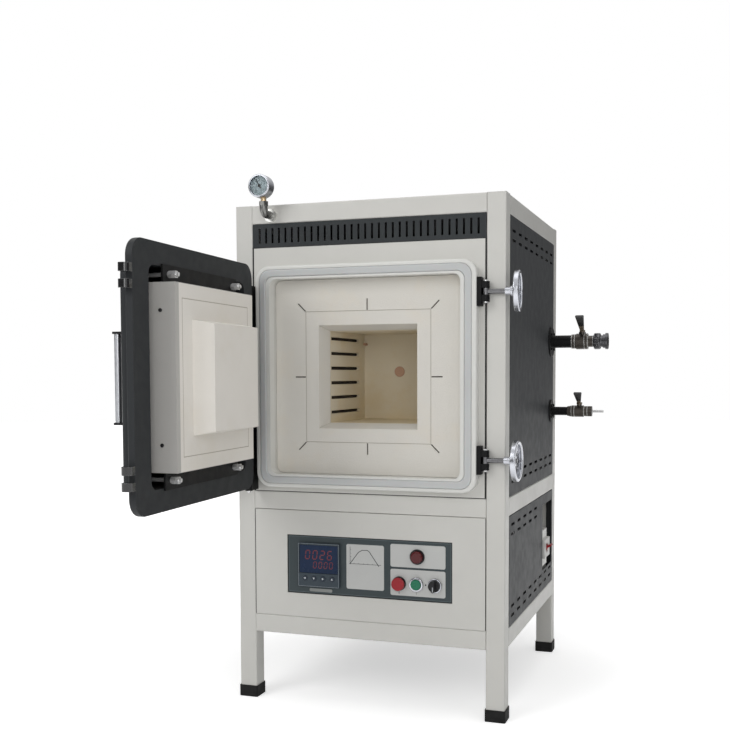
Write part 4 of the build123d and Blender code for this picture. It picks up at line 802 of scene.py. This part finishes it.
def hex_bolt():
    """A hexagon bolt head of unit radius on a thin washer face."""
    shape = lathe([(0, 0), (1.1, 0), (1.1, 0.12), (1, 0.14), (0.0, 0.14)], 24)
    hexagon = lathe([(0, 0.12), (1, 0.12), (1, 0.72), (0.86, 0.84), (0, 0.84)], 6)
    mesh = bpy.data.meshes.new("hexagon")
    hexagon.to_mesh(mesh)
    hexagon.free()
    shape.from_mesh(mesh)
    bpy.data.meshes.remove(mesh)
    return from_bmesh("hex_bolt", shape)


def fasten(name, head, radius, places, material, body):
    """Fasteners of one kind at (point, facing) places, as one piece."""
    points = bpy.data.meshes.new(name)
    points.from_pydata([place for place, _ in places], [], [])
    facing = points.attributes.new("facing", "FLOAT_VECTOR", "POINT")
    facing.data.foreach_set("vector", [value for _, direction in places for value in direction])
    source = bpy.data.objects.new(name + "_head", head)
    bpy.context.scene.collection.objects.link(source)
    inputs = {"Fastener": source, "Scale": radius, "Material": material}
    mesh = grow(name, "Fasteners on points", inputs, points)
    bpy.data.objects.remove(source)
    return piece(name, mesh, material, body)


# ---- operators ----

class Step:
    """A group of the furnace: finishes its solids, then adds its small pieces."""

    finishes = {}

    def execute(self, context):
        for name, nodes in self.finishes.items():
            dress(finish(name), *nodes)
        self.build(context.scene)
        return {"FINISHED"}

    def build(self, scene):
        """Nothing is added unless a group says so."""


class FURNACE_OT_cabinet(Step, bpy.types.Operator):
    """Paint the frame, the panels and the feet, and add the panel screws"""

    bl_idname = "furnace.cabinet"
    bl_label = "Cabinet"
    finishes = {
        "Cream powder coat": ("cabinet_frame", "front_plate", "lower_front_panel"),
        "Charcoal powder coat": ("cover_panels", "rear_panels"),
        "Vent charcoal coat": ("vent_grille",),
        "Black rubber": ("feet",),
        # the decks carry painted shade
        "Deck primer": ("decks",),
    }

    def build(self, scene):
        places = []
        for low, high in REAR_BAYS:
            for x in (-REAR_SCREW_X, REAR_SCREW_X):
                for z in (low + REAR_SCREW_INSET, high - REAR_SCREW_INSET):
                    places.append(((x, REAR, z), Y))
        steel = finish("Zinc-plated steel")
        fasten("rear_panel_screws", pan_screw(), sizes().screw_radius, places, steel, "root")
        self.gaskets()

    def gaskets(self):
        """Painted shadow: dark strips laid in the gaps beside the front plates, where shade falls."""
        low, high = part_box("front_plate")
        lower_low, lower_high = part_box("lower_front_panel")
        strips = []
        for x0, x1, z0, z1 in (
                (-0.2603, low.x + 0.0003, low.z, high.z), (high.x - 0.0003, 0.2603, low.z, high.z),
                (-0.2605, 0.2605, low.z - 0.0009, low.z + 0.0004),
                (-0.2605, 0.2605, high.z - 0.0004, high.z + 0.0009),
                (lower_low.x - 0.0009, lower_low.x + 0.0004, lower_low.z, lower_high.z),
                (lower_high.x - 0.0004, lower_high.x + 0.0009, lower_low.z, lower_high.z)):
            place = front_place((x0 + x1) / 2, FRONT + 0.0002, (z0 + z1) / 2)
            strips.append(flat_mesh("strip", [rounded(x1 - x0, z1 - z0, 0.0001, 1)], 0.0004, place))
        piece("joint_gaskets", joined("joint_gaskets", strips), finish("Joint black"), "root")


class FURNACE_OT_hot_box(Step, bpy.types.Operator):
    """Finish the mouth ring, the seal, the fibre boards and the chamber"""

    bl_idname = "furnace.hot_box"
    bl_label = "Hot box"
    finishes = {
        "Ring enamel": ("mouth_ring",),
        "Seal silicone": ("door_seal",),
        "Cream powder coat": ("hot_shell",),
        "Pressed fibre board": ("front_boards",),
        "Fired muffle board": ("chamber_muffle",),
        "Oxidised element": ("heating_elements",),
        "Fibre wool": ("insulation",),
        "Fired ceramic": ("chamber_fittings",),
    }

    def build(self, scene):
        """Painted shade: dark sheets laid in the eight expansion slits, where their depth is in shadow."""
        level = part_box("front_boards")[0].y + 0.0022
        shade_sheets = []
        for turn in range(8):
            angle = math.radians(45 * turn)
            reach = SLIT_REACH * (math.sqrt(2) if turn % 2 else 1) + 0.013
            place = front_place(reach * math.cos(angle), level, MOUTH_Z + reach * math.sin(angle))
            place = place @ Matrix.Rotation(angle, 4, "Z")
            shade_sheets.append(flat_mesh("slit", [rounded(*SLIT_SIZE, 0.0001, 1)], 0.0003, place))
        piece("slit_floors", joined("slit_floors", shade_sheets), finish("Slit shade"), "root")


class FURNACE_OT_door(Step, bpy.types.Operator):
    """Finish the door, its plug and fixings, the handle and the hinge"""

    bl_idname = "furnace.door"
    bl_label = "Door"
    finishes = {
        "Charcoal powder coat": ("door_flange",),
        "Door pan paint": ("door_pan",),
        "Lug enamel": ("door_lugs",),
        "Door plug board": ("door_plug",),
        "Zinc-plated steel": ("plug_fixings",),
        "Black plastic": ("handle_posts",),
        "Grip aluminium": ("handle_grip",),
        "Black enamel": ("hinge_door_leaves", "hinge_frame_leaf"),
    }

    def build(self, scene):
        """Two small screws in the plug's free side."""
        swing = Matrix.Translation(HINGE) @ Matrix.Rotation(-DOOR_OPEN, 4, "Z") @ Matrix.Translation(-HINGE)
        facing = swing.to_3x3() @ Vector(X)
        places = [(swing @ Vector((*PLUG_SCREW, z)), facing) for z in PLUG_SCREW_LEVELS]
        fasten("plug_side_screws", pan_screw(), 0.0036, places, finish("Black plastic"), "door")


class FURNACE_OT_clamps(Step, bpy.types.Operator):
    """Finish the screw clamps and cut the bolts' threads"""

    bl_idname = "furnace.clamps"
    bl_label = "Clamps"
    finishes = {
        "Black enamel": ("clamp_brackets",),
        "Zinc-plated steel": ("pivot_pins",),
        "Drawn steel rod": ("swing_bolt_upper", "swing_bolt_lower"),
        "Satin chrome": ("clamp_collar_upper", "clamp_wheel_upper", "clamp_collar_lower", "clamp_wheel_lower"),
    }

    def build(self, scene):
        material = finish("Drawn steel rod")
        for where, (level, rest) in CLAMPS.items():
            name = f"clamp_thread_{where}"
            turn = Matrix.Rotation(math.radians(rest), 4, "Z") @ Matrix.Rotation(math.radians(90), 4, "Y")
            place = Matrix.Translation((CLAMP_X, CLAMP_Y, level)) @ turn
            thread = grow(name, "Screw thread", {
                "Radius": 0.00485, "Pitch": sizes().thread_pitch, "Length": 0.026, "Crest": 0.00032,
                "Material": material})
            thread.transform(place @ Matrix.Translation((0, 0, THREAD_START)))
            piece(name, smooth_by_angle(thread), material, f"bolt_{where}")


class FURNACE_OT_gauge(Step, bpy.types.Operator):
    """Finish the gauge and print its dial"""

    bl_idname = "furnace.gauge"
    bl_label = "Gauge"
    finishes = {
        "Satin chrome": ("gauge_case",),
        "Black plastic": ("gauge_needle",),
        "Gauge fittings": ("gauge_fittings",),
    }

    def build(self, scene):
        dress(clear_glass(), "gauge_glass")
        x, z = middle_of("gauge_glass")
        disc = flat_mesh("dial_face", [circle(0, 0, 0.0205, 64), circle(0, 0, 0.0016, 24)], 0.0002,
                         front_place(x, DIAL_FACE, z))
        piece("dial_face", disc, finish("Dial face"), "root")
        material = finish("Dial ink")
        ticks = grow("dial_marks", "Dial ticks", {
            "Count": sizes().dial_ticks, "Radius": 0.0168, "Length": 0.0016, "Width": 0.00028,
            "Material": material})
        ticks.transform(front_place(x, DIAL_FACE - 0.00026, z))
        figures = [ticks]
        for step in range(5):
            angle, reach = math.radians(225 - 67.5 * step), 0.0122
            spot = front_place(x + reach * math.cos(angle), DIAL_FACE - 0.0002, z + reach * math.sin(angle))
            figures.append(text_mesh(str(step), 0.0042, 0.00012, spot))
        piece("dial_marks", joined("dial_marks", figures), material, "root")


class FURNACE_OT_ports(Step, bpy.types.Operator):
    """Finish the pipes, valves and levers, and bolt the flanges down"""

    bl_idname = "furnace.ports"
    bl_label = "Side ports"
    finishes = {
        "Black enamel": ("port_pipes",),
        "Cast valve metal": ("port_valves",),
        "Stainless fitting": ("port_fittings",),
        "Lever grip": ("vacuum_lever", "gas_lever"),
    }

    def build(self, scene):
        places = []
        for level, reach in FLANGES:
            for step in range(4):
                angle = math.radians(45 + 90 * step)
                spot = (FLANGE_FACE, PORT_Y + reach * math.cos(angle), level + reach * math.sin(angle))
                places.append((spot, X))
        fasten("flange_bolts", hex_bolt(), 0.0036, places, finish("Black enamel"), "root")


def segment_digits(words, height, place):
    """Seven-segment figures, centred on a place."""
    shapes = {"0": "abcdef", "2": "abged", "6": "afgecd"}
    width, thick, slant, pitch, trim = height * 0.5, height * 0.11, 0.12, height * 0.92, height * 0.12
    left, right, half = -width / 2, width / 2, height / 2
    bars = {
        "a": ((left, half), (right, half)), "g": ((left, 0), (right, 0)), "d": ((left, -half), (right, -half)),
        "f": ((left, 0), (left, half)), "b": ((right, 0), (right, half)),
        "e": ((left, -half), (left, 0)), "c": ((right, -half), (right, 0))}
    meshes = []
    for number, word in enumerate(words):
        shift = (number - (len(words) - 1) / 2) * pitch
        for letter in shapes[word]:
            (x0, y0), (x1, y1) = bars[letter]
            length = math.hypot(x1 - x0, y1 - y0)
            ux, uy = (x1 - x0) / length * trim / 2, (y1 - y0) / length * trim / 2
            line = [(px + shift + py * slant, py) for px, py in ((x0 + ux, y0 + uy), (x1 - ux, y1 - uy))]
            meshes.append(flat_mesh("digit_bar", [stroke(line, thick)], 0.0001, place))
    return meshes


class FURNACE_OT_controls(Step, bpy.types.Operator):
    """Finish the control panel: cards, display, keys and switches"""

    bl_idname = "furnace.controls"
    bl_label = "Control panel"
    finishes = {
        "Slate plate": ("control_plate",),
        "Controller case": ("controller_case",),
        "Key plastic": [f"controller_key_{number}" for number in range(1, 5)],
        "Black plastic": ("switch_bodies", "selector_knob"),
        "Lamp lens": ("pilot_lens",),
        "Red button": ("red_button",),
        "Green button": ("green_button",),
    }

    def build(self, scene):
        self.cards()
        self.program_curve()
        self.display()
        self.marks()
        self.bezels()

    def bezels(self):
        """Silver bezel rings on the green button and the selector, and the small dot between them."""
        rings = []
        for x, inner in ((GREEN_X, 0.0117), (SELECTOR_X, 0.0128)):
            profile = [(inner, 0.0), (0.01475, 0.0), (0.01475, 0.0006), (0.0140, 0.0010), (inner, 0.0010),
                       (inner, 0.0)]
            mesh = from_bmesh("bezel", lathe(profile, 64))
            mesh.transform(front_place(x, CARD_FRONT - 0.004, SWITCH_Z))
            rings.append(mesh)
        piece("switch_bezels", smooth_by_angle(joined("switch_bezels", rings)), finish("Satin chrome"), "root")
        dot = flat_mesh("plate_dot", [circle(0, 0, 0.0016, 24)], 0.0003,
                        front_place(DOT_X, CARD_FRONT, SWITCH_Z))
        piece("plate_dot", dot, finish("Card ink"), "root")

    def cards(self):
        """Pale film cards on the plate, cut out for the switches, and a black painted-shadow line around the
        plate.
        """
        switches = [(x, SWITCH_Z) for x in (RED_X, GREEN_X, SELECTOR_X)]
        for name, film, width, height, x, z, holes in (
                ("program_card", "Card film", 0.085, 0.0965, CARD_X, 0.3057, []),
                ("lamp_card", "Card film", 0.1205, 0.0485, 0.1138, 0.3352, [(LAMP_X, LAMP_Z)]),
                ("button_card", "Card film", 0.1205, 0.056, 0.1138, 0.2784, switches),
                ("blank_strip", "Strip film", 0.053, 0.007, -0.1055, 0.2495, [])):
            outlines = [rounded(width, height, min(0.004, height / 2.5))]
            outlines += [circle(hx - x, hz - z, SWITCH_HOLE) for hx, hz in holes]
            mesh = flat_mesh(name, outlines, 0.0005, front_place(x, PLATE_FRONT, z))
            piece(name, mesh, finish(film), "root")
        # Painted shadow: a black line along the edge of the plate's cutout
        edge = [rounded(0.3720, 0.1277, 0.0002, 1), rounded(0.3690, 0.1247, 0.0002, 1)]
        line = flat_mesh("plate_edge", edge, 0.0004, front_place(PLATE_X, PLATE_FRONT, PLATE_Z))
        piece("plate_edge", line, finish("Joint black"), "root")

    def program_curve(self):
        """Axes and a plain ramp, hold and cool curve on the program card."""
        place = front_place(CARD_X, CARD_FRONT, 0.3285)
        lines = [
            stroke([(-0.034, 0.020), (-0.034, -0.018)], 0.0008),
            stroke([(-0.036, -0.0165), (0.036, -0.0165)], 0.0008),
            stroke([(-0.034, -0.0165), (-0.024, -0.003), (-0.015, 0.0085), (-0.007, 0.0135), (0.005, 0.0140),
                    (0.010, 0.0105), (0.031, -0.0195)], 0.0014),
        ]
        for level in range(4):
            z = -0.009 + 0.0075 * level
            lines.append(stroke([(-0.0335, z), (-0.0310, z)], 0.0006))
        for tick in range(6):
            x = -0.025 + 0.0105 * tick
            lines.append(stroke([(x, -0.0165), (x, -0.0140)], 0.0006))
        meshes = [flat_mesh("curve_line", [line], 0.0001, place) for line in lines]
        piece("program_curve", joined("program_curve", meshes), finish("Card ink"), "root")

    def display(self):
        """The controller's dark window with two rows of digits."""
        window = flat_mesh("display_window", [rounded(0.0888, 0.0606, 0.002)], 0.0006,
                           front_place(CONTROLLER_X, SCREEN_FLOOR, SCREEN_Z))
        piece("display_window", window, finish("Display window"), "root")
        red = glow("Red digits", tuple(colours().digits), 0.1)
        for name, words, height, x, z in (
                ("display_upper_row", "0026", 0.0185, CONTROLLER_X, SCREEN_Z + 0.0095),
                ("display_lower_row", "0000", 0.0135, CONTROLLER_X + 0.010, SCREEN_Z - 0.0125)):
            rows = segment_digits(words, height, front_place(x, SCREEN_FLOOR - 0.0006, z))
            piece(name, joined(name, rows), red, "root")

    def marks(self):
        """Small key symbols, plain 0 and 1 marks and the selector's line."""
        white = finish("White ink")
        arrow = [(0.0, 0.0026), (-0.0024, -0.0019), (0.0024, -0.0019)]
        for number, degrees in enumerate((90, 180, -90, 0), 1):
            x, z = middle_of(f"controller_key_{number}")
            turn = Matrix.Rotation(math.radians(degrees), 4, "Z")
            mesh = flat_mesh("key_mark", [arrow], 0.0001, front_place(x, KEY_FRONT, z) @ turn)
            piece(f"key_mark_{number}", mesh, white, f"key_{number}")
        figures = []
        for words, x in (("0", RED_X), ("1", GREEN_X)):
            figures.append(text_mesh(words, 0.0065, 0.0001, front_place(x, CARD_FRONT, 0.2562)))
        piece("button_figures", joined("button_figures", figures), finish("Card ink"), "root")
        x, z = middle_of("selector_knob")
        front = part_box("selector_knob")[0].y
        line = flat_mesh("selector_line", [rounded(0.0014, 0.010, 0.0006)], 0.00015,
                         front_place(x, front, z - 0.005))
        piece("selector_line", line, white, "selector")


class FURNACE_OT_electrics(Step, bpy.types.Operator):
    """Finish the breaker, the parts behind the lower panels, the gland and the fan"""

    bl_idname = "furnace.electrics"
    bl_label = "Electrics"
    finishes = {
        "Breaker shell": ("breaker_body",),
        "Red toggle": ("breaker_toggle",),
        "Varnished iron": ("transformer",),
        "Heat sink": ("power_controller",),
        "Black plastic": ("cable_gland", "fan_housing", "fan_rotor"),
    }


class FURNACE_OT_stage(Step, bpy.types.Operator):
    """Lay the floor, hang the lights and set the camera"""

    bl_idname = "furnace.stage"
    bl_label = "Stage"

    def build(self, scene):
        self.floor(scene)
        self.world(scene)
        self.lights(scene)
        self.camera(scene)
        scene.view_settings.view_transform = "Standard"

    def floor(self, scene):
        """A pale floor that looks white far off and keeps the furnace's shadow."""
        material, tree, shader, place = new_material("Pale floor")
        path = add(tree, "ShaderNodeLightPath").outputs
        seen = math_node(tree, "MAXIMUM", path["Is Camera Ray"], path["Is Glossy Ray"])
        seen = math_node(tree, "MAXIMUM", seen, path["Is Transmission Ray"])
        lift = remap(tree, vector_math(tree, "LENGTH", place), 0.3, 1.2, FLOOR_GLOW, 1.0)
        feed_all(tree, shader, {
            "Base Color": tone(246, 246, 246), "Roughness": 0.9, "Specular IOR Level": 0.1,
            "Emission Color": (1, 1, 1), "Emission Strength": math_node(tree, "MULTIPLY", seen, lift)})
        mesh = flat_mesh("floor", [circle(0, 0, 14, 96)], 0.01, Matrix.Translation((0, 0, -0.01)))
        mesh.materials.append(material)
        floor = bpy.data.objects.new("floor", mesh)
        scene.collection.objects.link(floor)

    def world(self, scene):
        """White to the camera, dim and brighter upward to everything else."""
        world = bpy.data.worlds.new("Studio")
        scene.world = world
        world.use_nodes = True
        tree = world.node_tree
        path = add(tree, "ShaderNodeLightPath").outputs
        seen = math_node(tree, "MAXIMUM", path["Is Camera Ray"], path["Is Transmission Ray"])
        height = split(tree, add(tree, "ShaderNodeTexCoord").outputs["Generated"])["Z"]
        sky = remap(tree, height, -0.1, 0.9, 0.20, 0.34)
        mirrored = remap(tree, height, 0.0, 0.7, 0.12, 1.0)
        shift = math_node(tree, "SUBTRACT", mirrored, sky)
        sky = math_node(tree, "MULTIPLY_ADD", shift, path["Is Glossy Ray"], sky)
        feed_all(tree, tree.nodes["Background"], {
            "Color": (1, 1, 1), "Strength": math_node(tree, "MAXIMUM", seen, sky)})

    def lights(self, scene):
        for name, place, target, size, power in (
                ("key", (-1.5, -2.9, 2.4), (0.0, 0.0, 0.7), 1.8, 36),
                ("fill", (2.6, -2.0, 1.7), (0.1, 0.0, 0.6), 1.8, 9),
                ("top", (0.3, -0.2, 3.2), (0.0, 0.0, 0.6), 2.0, 16),
                ("mouth", (0.75, -2.4, 1.15), (-0.05, -0.2, 0.70), 0.9, 9)):
            lamp = bpy.data.lights.new(name, "AREA")
            lamp.size = size
            lamp.energy = power
            obj = bpy.data.objects.new(name, lamp)
            aim = (Vector(target) - Vector(place)).to_track_quat("-Z", "Y")
            obj.matrix_world = Matrix.Translation(place) @ aim.to_matrix().to_4x4()
            scene.collection.objects.link(obj)

    def camera(self, scene):
        lens = bpy.data.cameras.new("camera")
        lens.sensor_width = 36
        lens.sensor_fit = "HORIZONTAL"
        lens.lens = 50.724
        lens.shift_x = -0.0285
        lens.shift_y = 0.0909
        camera = bpy.data.objects.new("camera", lens)
        scene.collection.objects.link(camera)
        placing = Matrix.Translation((0.73666, -2.35026, 0.71759))
        for degrees, axis in ((18.7061, "Z"), (-3.1933, "X"), (0.1458, "Y"), (90, "X")):
            placing = placing @ Matrix.Rotation(math.radians(degrees), 4, axis)
        camera.matrix_world = placing
        scene.camera = camera


STEPS = [FURNACE_OT_cabinet, FURNACE_OT_hot_box, FURNACE_OT_door, FURNACE_OT_clamps, FURNACE_OT_gauge,
         FURNACE_OT_ports, FURNACE_OT_controls, FURNACE_OT_electrics, FURNACE_OT_stage]


class FURNACE_PT_panel(bpy.types.Panel):
    """Lists the furnace's steps and settings"""

    bl_label = "Muffle furnace"
    bl_idname = "FURNACE_PT_panel"
    bl_space_type = "VIEW_3D"
    bl_region_type = "UI"
    bl_category = "Furnace"

    def draw(self, context):
        for settings in (context.scene.furnace_colours, context.scene.furnace_sizes):
            box = self.layout.box()
            for name in settings.__annotations__:
                box.prop(settings, name)
        for step in STEPS:
            self.layout.operator(step.bl_idname)


CLASSES = [FurnaceColours, FurnaceSizes, *STEPS, FURNACE_PT_panel]


def register():
    for item in CLASSES:
        bpy.utils.register_class(item)
    bpy.types.Scene.furnace_colours = PointerProperty(type=FurnaceColours)
    bpy.types.Scene.furnace_sizes = PointerProperty(type=FurnaceSizes)


def unregister():
    del bpy.types.Scene.furnace_sizes
    del bpy.types.Scene.furnace_colours
    for item in reversed(CLASSES):
        bpy.utils.unregister_class(item)


def main():
    register()
    for step in STEPS:
        group, name = step.bl_idname.split(".")
        getattr(getattr(bpy.ops, group), name)()


if __name__ == "__main__":
    main()
